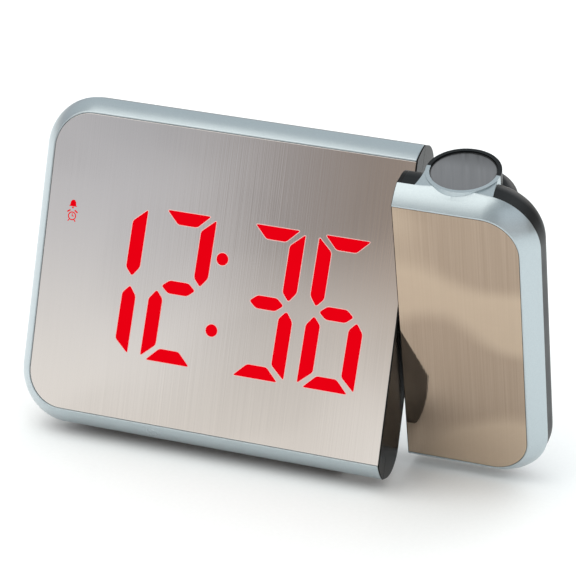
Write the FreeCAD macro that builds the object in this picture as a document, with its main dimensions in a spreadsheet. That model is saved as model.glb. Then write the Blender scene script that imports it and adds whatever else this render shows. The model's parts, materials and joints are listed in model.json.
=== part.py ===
# Projection alarm clock: a leaning mirror-faced clock with a projector unit that turns at its right end.
#
# World frame: X along the clock to the right, Y to the back, Z up, origin on the table under its middle.
# Clock frame: X the same, Y into the slab from the face, Z up the face.
# Its origin is at mid height of the face, at the flat end that faces the projector unit.
# Stand frame: the clock frame's origin with the world's directions.
import math
import os
import FreeCAD
import Part
import Sketcher

doc = FreeCAD.newDocument("ProjectionAlarmClock")
sheet = doc.addObject("Spreadsheet::Sheet", "Sizes")

# Driving sizes in millimetres and degrees
driving = {
    # Both units, front view and section
    "projector_length": 49.7,
    "parting_gap": 0.8,
    "face_height": 117.0,
    "slab_depth": 19.5,
    "bezel_flare": 5.0,
    "bezel_bulge": 0.5,
    "bezel_depth": 6.6,
    "bezel_rim": 0.5,
    "corner_radius": 18.8,
    "back_step": 0.15,
    "back_rim": 2.9,
    "projector_rim": 4.9,
    "wall": 2.0,
    "glass_thickness": 2.0,
    "glass_ledge": 3.0,
    "ledge_round": 30.0,
    "end_bar_width": 8.0,
    "end_bar_depth": 4.7,
    "end_cap_thickness": 1.5,
    # Stance: how far the clock leans back and the projector unit is turned forward
    "lean_angle": 15.0,
    "projector_angle": 31.8,
    "pivot_depth": 11.5,
    # Digits behind the mirror
    "digit_width": 20.9,
    "digit_height": 53.6,
    "digit_pitch": 25.9,
    "digit_margin": 11.7,
    "face_margin": 21.9,
    "colon_space": 7.3,
    "digit_drop": 3.5,
    "slant_angle": 2.0,
    "bar_width": 5.2,
    "bar_height": 4.6,
    "bar_gap": 1.1,
    "colon_radius": 2.2,
    "colon_spread": 12.7,
    "digit_seat": 0.3,
    "display_depth": 5.7,
    "display_border": 2.5,
    "board_thickness": 1.6,
    "board_space": 2.0,
    # Rear pod that the clock stands on
    "pod_right": 16.0,
    "pod_reach": 13.2,
    "pod_ground": 4.4,
    "pod_space": 5.5,
    "shoulder_space": 10.0,
    "pod_round": 4.0,
    "foot_height": 3.25,
    "foot_sink": 1.2,
    "foot_front": 11.0,
    "foot_radius": 5.0,
    "foot_bevel": 1.0,
    # Keys on the back
    "key_width": 12.0,
    "key_height": 7.0,
    "key_pitch": 17.0,
    "row_space": 6.0,
    "key_round": 2.0,
    "key_proud": 0.9,
    "key_travel": 0.8,
    "key_flange": 1.0,
    "snooze_width": 44.0,
    "snooze_height": 9.0,
    "snooze_space": 4.0,
    "moving_gap": 0.3,
    "switch_height": 1.4,
    "post_radius": 2.0,
    # Battery bay
    "cell_radius": 5.25,
    "cell_length": 44.5,
    "cell_nub": 0.9,
    "nub_radius": 1.8,
    "spring_length": 2.3,
    "spring_foot": 3.1,
    "spring_tip": 2.1,
    "bay_margin": 7.4,
    "bay_rise": 4.5,
    "bay_height": 22.0,
    "bay_depth": 11.8,
    "bay_wall": 1.2,
    "door_lip": 2.8,
    "door_thickness": 1.6,
    "grip_depth": 0.5,
    "grip_height": 5.5,
    "contact_thickness": 0.4,
    "contact_width": 8.4,
    # Sockets and speaker
    "socket_space": 2.7,
    "socket_pitch": 14.0,
    "usb_width": 13.4,
    "usb_height": 6.0,
    "usb_depth": 14.0,
    "usb_skin": 0.5,
    "tongue_rise": 3.1,
    "tongue_thickness": 1.8,
    "inlet_rise": 16.0,
    "inlet_radius": 4.0,
    "inlet_bore": 2.8,
    "inlet_pin": 0.7,
    "inlet_depth": 11.0,
    "speaker_space": 1.3,
    "speaker_rise": 21.0,
    "speaker_radius": 12.0,
    "speaker_rim": 6.0,
    "magnet_radius": 8.0,
    "magnet_depth": 8.0,
    "slot_height": 1.5,
    "slot_pitch": 3.6,
    "slot_margin": 2.4,
    "slot_count": 5,
    "grip_count": 5,
    # Case screws
    "boss_radius": 3.8,
    "screw_radius": 1.4,
    "head_radius": 2.7,
    "head_height": 1.9,
    "head_sink": 2.2,
    "cross_length": 3.5,
    "cross_width": 0.7,
    "boss_space": 0.2,
    "screw_inset": 13.5,
    "screw_drop": 13.5,
    "high_screw_drop": 22.5,
    "boss_root": 3.0,
    "boss_meet": 9.0,
    # Pivot between the two units
    "shaft_radius": 3.5,
    "shaft_bore": 1.8,
    "shaft_play": 0.05,
    "bush_radius": 5.5,
    "bush_length": 6.0,
    "nut_radius": 5.2,
    "nut_length": 2.5,
    "hub_radius": 5.9,
    "washer_radius": 6.5,
    "hub_length": 2.0,
    "thrust_gap": 0.05,
    "nut_space": 0.1,
    "shaft_overhang": 0.9,
    # Projector barrel, measured from the unit's flat end
    "barrel_middle": 20.0,
    "barrel_depth": 17.4,
    "collar_rise": 0.9,
    "collar_radius": 12.9,
    "collar_wall": 1.4,
    "collar_length": 11.4,
    "saddle_half": 13.7,
    "saddle_height": 8.9,
    "barrel_wall": 0.7,
    "barrel_length": 19.0,
    "barrel_sink": 0.2,
    "window_sink": 0.6,
    "window_thickness": 1.0,
    "lens_radius": 8.5,
    "lens_thickness": 4.0,
    "lens_drop": 12.0,
    "bulge_radius": 18.0,
    "bulge_drop": 7.5,
    "bulge_bottom": 25.0,
    "bulge_top_round": 4.0,
    "bulge_bottom_round": 8.0,
    "light_radius": 9.0,
    "light_wall": 1.5,
    "light_floor": 20.0,
    "slide_drop": 8.0,
}

# Sizes worked out from the driving ones
derived = {
    "digit_run": "=digit_width + 3 * digit_pitch + colon_space",
    "bay_length": "=cell_length + spring_length + 2 * contact_thickness",
    "bay_middle": "=pod_right + bay_margin + door_lip + bay_length / 2",
    "socket_middle": "=bay_middle + bay_length / 2 + door_lip + socket_space + usb_width / 2",
    "speaker_middle": "=socket_middle + usb_width / 2 + speaker_space + speaker_radius",
    "pod_left": "=speaker_middle + speaker_radius + 2 * wall",
    "pod_inset": "=screw_inset + boss_radius + boss_space",
    "main_length": "=max(pod_left + pod_inset; digit_margin + digit_run + face_margin)",
    "main_far": "=-main_length",
    "main_end": "=0 * main_length",
    "proj_end": "=parting_gap",
    "proj_far": "=parting_gap + projector_length",
    "ridge_half": "=face_height / 2",
    "front_half": "=ridge_half - bezel_flare",
    "front_round": "=corner_radius - bezel_flare",
    "main_front_far": "=main_far + bezel_flare",
    "proj_front_far": "=proj_far - bezel_flare",
    "bulge_inset": "=bezel_flare / 2 - bezel_bulge",
    "bulge_half": "=ridge_half - bulge_inset",
    "bulge_round": "=corner_radius - bulge_inset",
    "main_bulge_far": "=main_far + bulge_inset",
    "proj_bulge_far": "=proj_far - bulge_inset",
    "half_depth": "=bezel_depth / 2",
    "glass_half": "=front_half - bezel_rim",
    "glass_round": "=front_round - bezel_rim",
    "main_glass_far": "=main_front_far + bezel_rim",
    "proj_glass_far": "=proj_front_far - bezel_rim",
    "ledge_half": "=glass_half - glass_ledge",
    "main_ledge_far": "=main_glass_far + glass_ledge",
    "proj_ledge_far": "=proj_glass_far - glass_ledge",
    "proj_ledge_round": "=corner_radius - bezel_flare",
    "main_bar": "=-end_bar_width",
    "proj_bar": "=parting_gap + end_bar_width",
    "ledge_depth": "=bezel_depth - glass_thickness",
    "bar_relief": "=bezel_depth - end_bar_depth",
    "back_half": "=ridge_half - back_step",
    "back_corner": "=corner_radius - back_step",
    "main_back_far": "=main_far + back_step",
    "proj_back_far": "=proj_far - back_step",
    "back_length": "=slab_depth - bezel_depth",
    "back_round": "=back_length - back_rim",
    "proj_round": "=back_length - projector_rim",
    "cave_half": "=back_half - wall",
    "cave_corner": "=back_corner - wall",
    "main_cave_far": "=main_back_far + wall",
    "proj_cave_far": "=proj_back_far - wall",
    "cave_back": "=slab_depth - wall",
    "cave_length": "=cave_back - bezel_depth",
    "cave_round": "=back_round - wall",
    "proj_cave_round": "=proj_round - wall",
    "main_cap": "=-end_cap_thickness",
    "proj_cap": "=parting_gap + end_cap_thickness",
    "pod_back": "=slab_depth * cos(lean_angle) + pod_reach",
    "round_middle": "=slab_depth - back_round",
    "round_height": "=back_half - back_round",
    "snooze_row": "=round_height - snooze_space - snooze_height / 2",
    "key_row": "=snooze_row - snooze_height / 2 - row_space - key_height / 2",
    "key_middle": "=(pod_left + pod_right) / 2",
    "low_y": "=round_middle * cos(lean_angle) - round_height * sin(lean_angle)",
    "low_z": "=-round_middle * sin(lean_angle) - round_height * cos(lean_angle) - back_round",
    "table_z": "=low_z - foot_height",
    "pod_floor": "=-table_z - pod_ground",
    "pod_rise": "=key_row - key_height / 2 - pod_space",
    "bay_drop": "=pod_floor - bay_rise - bay_height / 2",
    "inlet_drop": "=pod_floor - inlet_rise",
    "usb_drop": "=inlet_drop - socket_pitch",
    "speaker_drop": "=pod_floor - speaker_rise",
    "pod_shoulder": "=speaker_drop - speaker_radius - shoulder_space",
    "pod_top_y": "=slab_depth * cos(lean_angle) + pod_rise * sin(lean_angle)",
    "pod_top_z": "=pod_rise * cos(lean_angle) - slab_depth * sin(lean_angle)",
    "slope": "=(pod_back - pod_top_y) / (pod_top_z + pod_shoulder)",
    "slope_wall": "=wall * sqrt(1 + slope * slope)",
    "pod_front_y": "=slab_depth / 2 * cos(lean_angle) + pod_rise * sin(lean_angle)",
    "pod_length": "=pod_left - pod_right",
    "pod_inner": "=pod_back - slope_wall",
    "pod_inner_top": "=pod_top_y - slope_wall",
    "pod_inner_floor": "=pod_floor - wall",
    "pod_inner_left": "=pod_left - wall",
    "pod_inner_length": "=pod_length - 2 * wall",
    "boss_length": "=boss_meet - boss_root",
    "screw_near": "=end_cap_thickness + boss_radius + boss_space",
    "main_screw_far": "=main_length - screw_inset",
    "screw_rise": "=ridge_half - screw_drop",
    "high_screw": "=ridge_half - high_screw_drop",
    "proj_screw_near": "=parting_gap + screw_near",
    "proj_screw_far": "=proj_ledge_far - screw_radius",
    "proj_screw_side": "=proj_ledge_far + screw_radius / 2",
    "nut_end": "=-bush_length - nut_space - nut_length",
    "shaft_start": "=nut_end - shaft_overhang",
    "board_right": "=shaft_start - board_space",
    "collar_top": "=ridge_half + collar_rise",
    "bulge_top": "=ridge_half - bulge_drop",
    "barrel_x": "=parting_gap + barrel_middle",
    "collar_bore": "=collar_radius - collar_wall",
    "barrel_radius": "=collar_bore - shaft_play",
    "barrel_bore": "=barrel_radius - barrel_wall",
    "barrel_top": "=collar_top - barrel_sink",
    "barrel_foot": "=barrel_top - barrel_length",
    "collar_foot": "=collar_top - saddle_height",
    "crest_half": "=collar_radius - collar_wall / 2",
    "crest_left": "=barrel_x - crest_half",
    "crest_right": "=barrel_x + crest_half",
    "saddle_left": "=barrel_x - saddle_half",
    "saddle_right": "=barrel_x + saddle_half",
    "saddle_depth": "=(bezel_depth + barrel_depth) / 2",
    "waist_half": "=(crest_half * 2 + saddle_half) / 3",
    "waist_left": "=barrel_x - waist_half",
    "waist_right": "=barrel_x + waist_half",
    "waist_top": "=ridge_half + (collar_top - ridge_half) / 4",
}

for row, name in enumerate(list(driving) + list(derived), start=1):
    content = str(driving[name]) if name in driving else derived[name]
    sheet.set("A%d" % row, name)
    sheet.set("B%d" % row, content)
    sheet.setAlias("B%d" % row, name)
doc.recompute()


def size(name):
    """The value of one cell of the sheet."""
    return float(sheet.get(name))


def vec(x, y, z):
    """A point or direction."""
    return FreeCAD.Vector(x, y, z)


def turned(axis, angle, base=vec(0, 0, 0)):
    """A placement that turns about an axis through the origin and then moves."""
    return FreeCAD.Placement(base, FreeCAD.Rotation(axis, angle))


AXIS_X = vec(1, 0, 0)
AXIS_Y = vec(0, 1, 0)
BIG = 400.0
LEAN = turned(AXIS_X, -size("lean_angle"))
PIVOT = vec(0, size("pivot_depth"), 0)
TURN = turned(AXIS_X, size("projector_angle"))
TURN.Base = PIVOT - TURN.Rotation.multVec(PIVOT)
PROJECTOR = LEAN.multiply(TURN)
STAND = FreeCAD.Placement()
BACKWARD = FreeCAD.Rotation(AXIS_X, -90)
SIDEWAYS = FreeCAD.Rotation(AXIS_Y, 90)

nodes = []


def node(thing, name, frame):
    """Names a finished piece and remembers the frame that it was modelled in."""
    thing.Label = name
    nodes.append((thing, frame))
    return thing


# Sketches


def new_body(name):
    """An empty body."""
    made = doc.addObject("PartDesign::Body", name)
    doc.recompute()
    return made


def new_sketch(body, name, role, offset):
    """An empty sketch on one of the body's own planes, moved along the plane's normal."""
    made = body.newObject("Sketcher::SketchObject", name)
    plane = [item for item in body.Origin.OriginFeatures if item.Role == role][0]
    made.AttachmentSupport = [(plane, "")]
    made.MapMode = "FlatFace"
    made.setExpression("AttachmentOffset.Base.z", offset)
    return made


def cell(name):
    """The expression of a cell, where a leading minus is kept."""
    if name.startswith("-"):
        return "-Sizes." + name[1:]
    return "Sizes." + name


def number(name):
    """The value of a cell, where a leading minus is kept."""
    if name.startswith("-"):
        return -size(name[1:])
    return size(name)


def bind(sketch, kind, where, name):
    """Ties a dimension of the sketch to a cell."""
    index = sketch.addConstraint(Sketcher.Constraint(kind, *where, number(name)))
    sketch.setExpression("Constraints[%d]" % index, cell(name))


def line(sketch, start, end):
    """A straight edge of a sketch."""
    return sketch.addGeometry(Part.LineSegment(vec(*start, 0), vec(*end, 0)))


def arc(sketch, middle, radius, start, end):
    """A round edge of a sketch, from one angle in degrees to another."""
    circle = Part.Circle(vec(*middle, 0), vec(0, 0, 1), radius)
    return sketch.addGeometry(Part.ArcOfCircle(circle, math.radians(start), math.radians(end)))


def end_outline(sketch, end, far, half, radius):
    """A rectangle that is square at x = end and has its two round corners at x = far."""
    x_end = size(end)
    x_far = size(far)
    top = size(half)
    bend = size(radius)
    right = x_far > x_end
    x_bend = x_far - bend if right else x_far + bend
    low = line(sketch, (x_end, -top), (x_bend, -top))
    low_start = 270 if right else 180
    low_bend = arc(sketch, (x_bend, bend - top), bend, low_start, low_start + 90)
    side = line(sketch, (x_far, bend - top), (x_far, top - bend))
    high_start = 0 if right else 90
    high_bend = arc(sketch, (x_bend, top - bend), bend, high_start, high_start + 90)
    high = line(sketch, (x_bend, top), (x_end, top))
    back = line(sketch, (x_end, top), (x_end, -top))
    first, last = (1, 2) if right else (2, 1)
    for rule in (
        ("Tangent", low, 2, low_bend, first),
        ("Tangent", low_bend, last, side, 1),
        ("Tangent", side, 2, high_bend, first),
        ("Tangent", high_bend, last, high, 1),
        ("Coincident", high, 2, back, 1),
        ("Coincident", back, 2, low, 1),
        ("Horizontal", low),
        ("Horizontal", high),
        ("Vertical", side),
        ("Vertical", back),
        ("Equal", low_bend, high_bend),
    ):
        sketch.addConstraint(Sketcher.Constraint(*rule))
    bind(sketch, "Radius", (low_bend,), radius)
    bind(sketch, "DistanceX", (-1, 1, back, 1), end)
    bind(sketch, "DistanceX", (-1, 1, side, 1), far)
    bind(sketch, "DistanceY", (-1, 1, back, 1), half)
    bind(sketch, "DistanceY", (-1, 1, back, 2), "-" + half)


def polygon(sketch, corners):
    """A closed outline of straight edges, each corner tied to two cells."""
    points = [(number(across), number(up)) for across, up in corners]
    edges = [line(sketch, start, end) for start, end in zip(points, points[1:] + points[:1])]
    for before, after in zip(edges, edges[1:] + edges[:1]):
        sketch.addConstraint(Sketcher.Constraint("Coincident", before, 2, after, 1))
    for edge, (across, up) in zip(edges, corners):
        bind(sketch, "DistanceX", (-1, 1, edge, 1), across)
        bind(sketch, "DistanceY", (-1, 1, edge, 1), up)


def pad(body, sketch, length, backward=False):
    """Fills a sketch to a length."""
    made = body.newObject("PartDesign::Pad", "Pad")
    made.Profile = sketch
    made.setExpression("Length", cell(length))
    made.Reversed = backward
    doc.recompute()
    return made


def pocket(body, sketch, length):
    """Cuts a sketch to a length, behind the sketch."""
    before = body.Shape.Volume
    made = body.newObject("PartDesign::Pocket", "Pocket")
    made.Profile = sketch
    made.setExpression("Length", cell(length))
    doc.recompute()
    if body.Shape.Volume >= before:
        raise RuntimeError("a pocket of %s cuts nothing" % body.Label)
    return made


def loft(body, sections):
    """A skin through sketches, front to back."""
    made = body.newObject("PartDesign::AdditiveLoft", "Loft")
    made.Profile = sections[0]
    made.Sections = sections[1:]
    doc.recompute()
    return made


def edge_names(shape, wanted):
    """The names of the edges that a test picks."""
    return ["Edge%d" % (i + 1) for i, edge in enumerate(shape.Edges) if wanted(edge)]


def round_body(body, radius, wanted):
    """Rounds picked edges of a body."""
    tip = body.Tip
    made = body.newObject("PartDesign::Fillet", "Fillet")
    made.Base = (tip, edge_names(tip.Shape, wanted))
    made.setExpression("Radius", cell(radius))
    doc.recompute()
    return made


# Primitives and booleans


def block(name, sizes, corner, frame=STAND):
    """A box whose three sizes are expressions."""
    made = doc.addObject("Part::Box", name)
    for side, text in zip(("Length", "Width", "Height"), sizes):
        made.setExpression(side, text)
    made.Placement = frame.multiply(FreeCAD.Placement(vec(*corner), FreeCAD.Rotation()))
    return made


def rod(name, radius, length, base, turn=FreeCAD.Rotation(), frame=STAND):
    """A cylinder along Z, or along another axis where it is turned."""
    made = doc.addObject("Part::Cylinder", name)
    made.setExpression("Radius", radius)
    made.setExpression("Height", length)
    made.Placement = frame.multiply(FreeCAD.Placement(vec(*base), turn))
    return made


def fuse(name, things):
    """Several solids grown together."""
    made = doc.addObject("Part::MultiFuse", name)
    made.Shapes = things
    made.Refine = True
    doc.recompute()
    return made


def cut(name, base, tool):
    """One solid with another taken away."""
    made = doc.addObject("Part::Cut", name)
    made.Base = base
    made.Tool = tool
    made.Refine = True
    doc.recompute()
    return made


def common(name, base, tool):
    """What two solids share."""
    made = doc.addObject("Part::Common", name)
    made.Base = base
    made.Tool = tool
    doc.recompute()
    return made


def group(name, things):
    """Several separate solids in one node."""
    made = doc.addObject("Part::Compound", name)
    made.Links = things
    doc.recompute()
    return made


def rounded(name, base, radius, wanted):
    """A solid with picked edges rounded."""
    doc.recompute()
    made = doc.addObject("Part::Fillet", name)
    made.Base = base
    picked = [i + 1 for i, edge in enumerate(base.Shape.Edges) if wanted(edge)]
    made.Edges = [(index, radius, radius) for index in picked]
    doc.recompute()
    return made


def bevelled(name, base, width, wanted):
    """A solid with picked edges cut off at 45 degrees."""
    doc.recompute()
    made = doc.addObject("Part::Chamfer", name)
    made.Base = base
    picked = [i + 1 for i, edge in enumerate(base.Shape.Edges) if wanted(edge)]
    made.Edges = [(index, width, width) for index in picked]
    doc.recompute()
    return made


def runs_along(edge, direction):
    """Whether a straight edge runs along a direction."""
    if edge.Curve.TypeId != "Part::GeomLine":
        return False
    return abs(abs(edge.tangentAt(edge.FirstParameter).dot(direction)) - 1) < 1e-6


# Front: flared bezels and mirrors


def flared_ring(body, side):
    """The bezel's flare from the mirror's edge back to the ridge, a little full at mid depth."""
    sections = []
    for name, offset, far, half, radius in (
        ("Front", "0", side + "_front_far", "front_half", "front_round"),
        ("Middle", "-Sizes.half_depth", side + "_bulge_far", "bulge_half", "bulge_round"),
        ("Ridge", "-Sizes.bezel_depth", side + "_far", "ridge_half", "corner_radius"),
    ):
        sketch = new_sketch(body, name, "XZ_Plane", offset)
        end_outline(sketch, side + "_end", far, half, radius)
        sections.append(sketch)
    doc.recompute()
    loft(body, sections)


def glass_seat(body, side, ledge_round):
    """The recess for the mirror, the opening behind it and the relief behind the end bar."""
    seat = new_sketch(body, "Seat", "XZ_Plane", "0")
    end_outline(seat, side + "_end", side + "_glass_far", "glass_half", "glass_round")
    pocket(body, seat, "glass_thickness")
    opening = new_sketch(body, "Opening", "XZ_Plane", "-Sizes.glass_thickness")
    end_outline(opening, side + "_bar", side + "_ledge_far", "ledge_half", ledge_round)
    pocket(body, opening, "ledge_depth")
    relief = new_sketch(body, "Relief", "XZ_Plane", "-Sizes.end_bar_depth")
    end_outline(relief, side + "_end", side + "_ledge_far", "ledge_half", ledge_round)
    pocket(body, relief, "bar_relief")


MAIN_SCREWS = [
    ("-main_screw_far", "screw_rise"),
    ("-main_screw_far", "-screw_rise"),
    ("-screw_near", "screw_rise"),
    ("-screw_near", "-screw_rise"),
]
PROJECTOR_SCREWS = [
    ("proj_screw_near", "-screw_rise"),
    ("proj_screw_far", "-screw_rise"),
    ("proj_screw_side", "high_screw"),
]


def ring(sketch, across, up, radius):
    """A circle whose middle and radius are tied to cells."""
    made = sketch.addGeometry(Part.Circle(vec(number(across), number(up), 0), vec(0, 0, 1), number(radius)))
    bind(sketch, "DistanceX", (-1, 1, made, 3), across)
    bind(sketch, "DistanceY", (-1, 1, made, 3), up)
    bind(sketch, "Radius", (made,), radius)


def screw_bosses(body, screws):
    """The hollow bosses that the case screws bite into."""
    sketch = new_sketch(body, "Bosses", "XZ_Plane", "-Sizes.boss_root")
    for across, up in screws:
        ring(sketch, across, up, "boss_radius")
    pad(body, sketch, "boss_length", backward=True)
    bores = new_sketch(body, "Pilots", "XZ_Plane", "-Sizes.boss_root")
    for across, up in screws:
        ring(bores, across, up, "screw_radius")
    pocket(body, bores, "boss_length")


def main_bezel():
    """The silver frame round the left part of the face."""
    body = new_body("MainBezel")
    flared_ring(body, "main")
    glass_seat(body, "main", "ledge_round")
    screw_bosses(body, MAIN_SCREWS)
    node(body, "main_bezel", LEAN)


def mirror_blank(name, side):
    """A mirror plate that fills its seat."""
    body = new_body(name)
    outline = new_sketch(body, "Outline", "XZ_Plane", "0")
    end_outline(outline, side + "_end", side + "_glass_far", "glass_half", "glass_round")
    pad(body, outline, "glass_thickness", backward=True)
    return body


# Digits


def bar_outline(letter):
    """One bar of a seven-bar digit, in a cell whose lower left corner is the origin."""
    wide = size("digit_width")
    tall = size("digit_height")
    across = size("bar_width")
    up = size("bar_height")
    gap = size("bar_gap")
    middle = tall / 2
    tip = up / 2
    top = [
        (2 * gap, tall),
        (wide - 2 * gap, tall),
        (wide - 2 * gap - up, tall - up),
        (2 * gap + up, tall - up),
    ]
    upper = [
        (wide, tall - gap),
        (wide - across, tall - gap - up),
        (wide - across, middle + up),
        (wide - across / 2, middle + gap / 2 + tip / 2),
        (wide, middle + up + gap / 2),
    ]
    left_tip = across - gap
    centre = [
        (left_tip, middle),
        (left_tip + tip * 1.2, middle + tip),
        (wide - left_tip - tip * 1.2, middle + tip),
        (wide - left_tip, middle),
        (wide - left_tip - tip * 1.2, middle - tip),
        (left_tip + tip * 1.2, middle - tip),
    ]
    shapes = {
        "top": top,
        "upper_right": upper,
        "lower_right": [(x, tall - y) for x, y in upper],
        "bottom": [(x, tall - y) for x, y in top],
        "lower_left": [(wide - x, tall - y) for x, y in upper],
        "upper_left": [(wide - x, y) for x, y in upper],
        "middle": centre,
    }
    return shapes[letter]


DIGITS = (
    ("upper_right", "lower_right"),
    ("top", "upper_right", "middle", "lower_left", "bottom"),
    ("top", "upper_right", "middle", "lower_right", "bottom"),
    ("top", "upper_left", "middle", "lower_left", "lower_right", "bottom"),
)


def lit_bars(depth):
    """The lit bars and the colon's dots as solids of the given depth."""
    slant = math.tan(math.radians(size("slant_angle")))
    bottom = -size("digit_drop") - size("digit_height") / 2
    solids = []
    for place, bars in enumerate(DIGITS):
        from_right = len(DIGITS) - 1 - place
        left = -size("digit_margin") - size("digit_width") - from_right * size("digit_pitch")
        if place < 2:
            left -= size("colon_space")
        for bar in bars:
            points = []
            for x, y in bar_outline(bar):
                points.append(vec(left + x + slant * (y - size("digit_height") / 2), 0, bottom + y))
            face = Part.Face(Part.makePolygon(points + points[:1]))
            solids.append(face.extrude(vec(0, depth, 0)))
    colon = -size("digit_margin") - 2 * size("digit_pitch") - size("colon_space") / 2 + size("bar_gap") / 2
    for step in (-1, 1):
        up = step * size("colon_spread")
        base = vec(colon + slant * up, 0, up - size("digit_drop"))
        solids.append(Part.makeCylinder(size("colon_radius"), depth, base, AXIS_Y))
    return Part.makeCompound(solids)


def main_face():
    """The mirror with a window for each lit bar, and the bars that fill the windows."""
    windows = doc.addObject("Part::Feature", "Windows")
    windows.Shape = lit_bars(size("glass_thickness"))
    blank = mirror_blank("MainMirrorBlank", "main")
    node(cut("MainMirror", blank, windows), "main_mirror", LEAN)
    bars = doc.addObject("Part::Feature", "Bars")
    bars.Shape = lit_bars(size("glass_thickness") + size("digit_seat"))
    node(bars, "digit_segments", LEAN)


# Rear shells


def slab_back(name, side, far, half, radius, length, rounding):
    """The closed rear form of a unit, rounded all along its back edge but not at the flat end."""
    body = new_body(name)
    outline = new_sketch(body, "Outline", "XZ_Plane", "-Sizes.bezel_depth")
    end_outline(outline, side + "_end", far, half, radius)
    pad(body, outline, length, backward=True)
    back = size("bezel_depth") + size(length)
    end = size(side + "_end")

    def at_back(edge):
        box = edge.BoundBox
        return box.YMin > back - 0.01 and not (abs(box.XMin - end) < 0.01 and abs(box.XMax - end) < 0.01)

    round_body(body, rounding, at_back)
    return body


def pod_form(name, left, length, back, floor, top):
    """The pod's side profile, carried along the clock."""
    body = new_body(name)
    profile = new_sketch(body, "Profile", "YZ_Plane", cell(left))
    polygon(profile, [
        ("low_y", floor),
        (back, floor),
        (back, "-pod_shoulder"),
        (top, "pod_top_z"),
        ("pod_front_y", "pod_top_z"),
    ])
    pad(body, profile, length)
    return body


def pod_outside():
    """The pod with its rear and sloping edges rounded."""
    body = pod_form("PodOutside", "-pod_left", "pod_length", "pod_back", "-pod_floor", "pod_top_y")
    behind = size("slab_depth")
    low = -size("pod_floor")
    high = size("pod_top_z")

    def outer_edge(edge):
        box = edge.BoundBox
        return box.YMin > behind and box.ZMax > low + 1 and box.ZMin < high - 1

    round_body(body, "pod_round", outer_edge)
    return body


def end_slice(name, side):
    """A slab as thick as the end cap, at the flat end of a unit."""
    start = size("main_cap") if side == "main" else size("proj_end")
    return block(name, ("Sizes.end_cap_thickness", str(BIG), str(BIG)), (start, -BIG / 2, -BIG / 2))


def end_cap(side, blank, frame):
    """The flat glossy end of a unit, with a tongue that reaches forward to the end bar."""
    outer = common(side + "CapForm", blank, end_slice(side + "CapSlice", side))
    start = size("main_cap") if side == "main" else size("proj_end")
    corner = (start, size("end_bar_depth"), -size("ledge_half"))
    tongue_sizes = ("Sizes.end_cap_thickness", "Sizes.bar_relief", "2 * Sizes.ledge_half")
    tongue = block(side + "Tongue", tongue_sizes, corner, frame)
    radius = "Sizes.bush_radius" if side == "main" else "Sizes.shaft_radius"
    place = (start - 1, size("pivot_depth"), 0)
    bore = rod(side + "CapBore", radius, "2 * Sizes.bush_length", place, SIDEWAYS, frame)
    return cut(side + "EndCap", fuse(side + "CapBody", [outer, tongue]), bore)


# Rear halves, their screws and the keys


def slab_rod(name, radius, length, place, depth, frame):
    """A cylinder that runs backward from a depth in the slab, at a place given by two cells."""
    return rod(name, radius, length, (number(place[0]), depth, number(place[1])), BACKWARD, frame)


def shell_bosses(screws, frame):
    """The posts inside a rear shell that meet the bezel's bosses."""
    length = "Sizes.cave_back - Sizes.boss_meet"
    meet = size("boss_meet")
    return [slab_rod("ShellBoss", "Sizes.boss_radius", length, place, meet, frame) for place in screws]


def screw_bores(screws, frame):
    """The clearance bores and the sunk seats of the screw heads."""
    bores = []
    seat = size("slab_depth") - size("head_sink")
    for place in screws:
        bores.append(slab_rod("ScrewBore", "Sizes.screw_radius", "Sizes.slab_depth", place, 0, frame))
        bores.append(slab_rod("HeadSeat", "Sizes.head_radius", "2 * Sizes.wall", place, seat, frame))
    return bores


def screws_of(name, screws, frame):
    """A unit's case screws, each with a cross in its head."""
    seat = size("slab_depth") - size("head_sink")
    foot = size("boss_root") + size("head_sink")
    solids = []
    for place in screws:
        shank = slab_rod("Shank", "Sizes.screw_radius", "%f" % (seat - foot), place, foot, STAND)
        head = slab_rod("Head", "Sizes.head_radius", "Sizes.head_height", place, seat, STAND)
        cross = []
        for wide, tall in (("cross_length", "cross_width"), ("cross_width", "cross_length")):
            across = number(place[0]) - size(wide) / 2
            up = number(place[1]) - size(tall) / 2
            depth = seat + size("head_height") / 2
            cross.append(block("Cross", (cell(wide), "Sizes.head_height", cell(tall)), (across, depth, up)))
        solids.append(cut("CrossScrew", fuse("Screw", [shank, head]), fuse("CrossCut", cross)))
    node(group(name + "Group", solids), name, frame)


KEYS = ("key_set", "key_alarm", "key_down", "key_up", "key_projection")


def key_places():
    """Each key's name, width, height and middle on the back."""
    places = [("snooze_bar", "snooze_width", "snooze_height", -size("key_middle"), size("snooze_row"))]
    for step, name in enumerate(KEYS):
        across = (step - (len(KEYS) - 1) / 2) * size("key_pitch") - size("key_middle")
        places.append((name, "key_width", "key_height", across, size("key_row")))
    return places


def soft_block(name, plan, deep, front, grow, frame):
    """A block with round corners as seen from behind, widened all round by grow."""
    wide, tall, across, up = plan
    sizes = ("Sizes.%s + 2 * %f" % (wide, grow), deep, "Sizes.%s + 2 * %f" % (tall, grow))
    corner = (across - size(wide) / 2 - grow, front, up - size(tall) / 2 - grow)
    base = block(name + "Block", sizes, corner)
    made = rounded(name, base, size("key_round") + grow, lambda edge: runs_along(edge, AXIS_Y))
    made.Placement = frame
    return made


def key_holes():
    """The holes in the back wall, a running gap wider than the keys."""
    holes = []
    for name, *plan in key_places():
        front = size("cave_back") - 1
        holes.append(soft_block(name + "Hole", plan, "2 * Sizes.wall", front, size("moving_gap"), LEAN))
    return holes


def keys():
    """The keys: a cap that stands proud of the back and a flange that keeps it in."""
    front = size("cave_back") - size("moving_gap") - size("key_flange")
    for name, *plan in key_places():
        reach = "Sizes.slab_depth + Sizes.key_proud - %f" % front
        cap = soft_block(name + "Cap", plan, reach, front, 0, STAND)
        flange = soft_block(name + "Flange", plan, "Sizes.key_flange", front, 3 * size("moving_gap"), STAND)
        node(fuse(name + "Body", [cap, flange]), name, LEAN)


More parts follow.
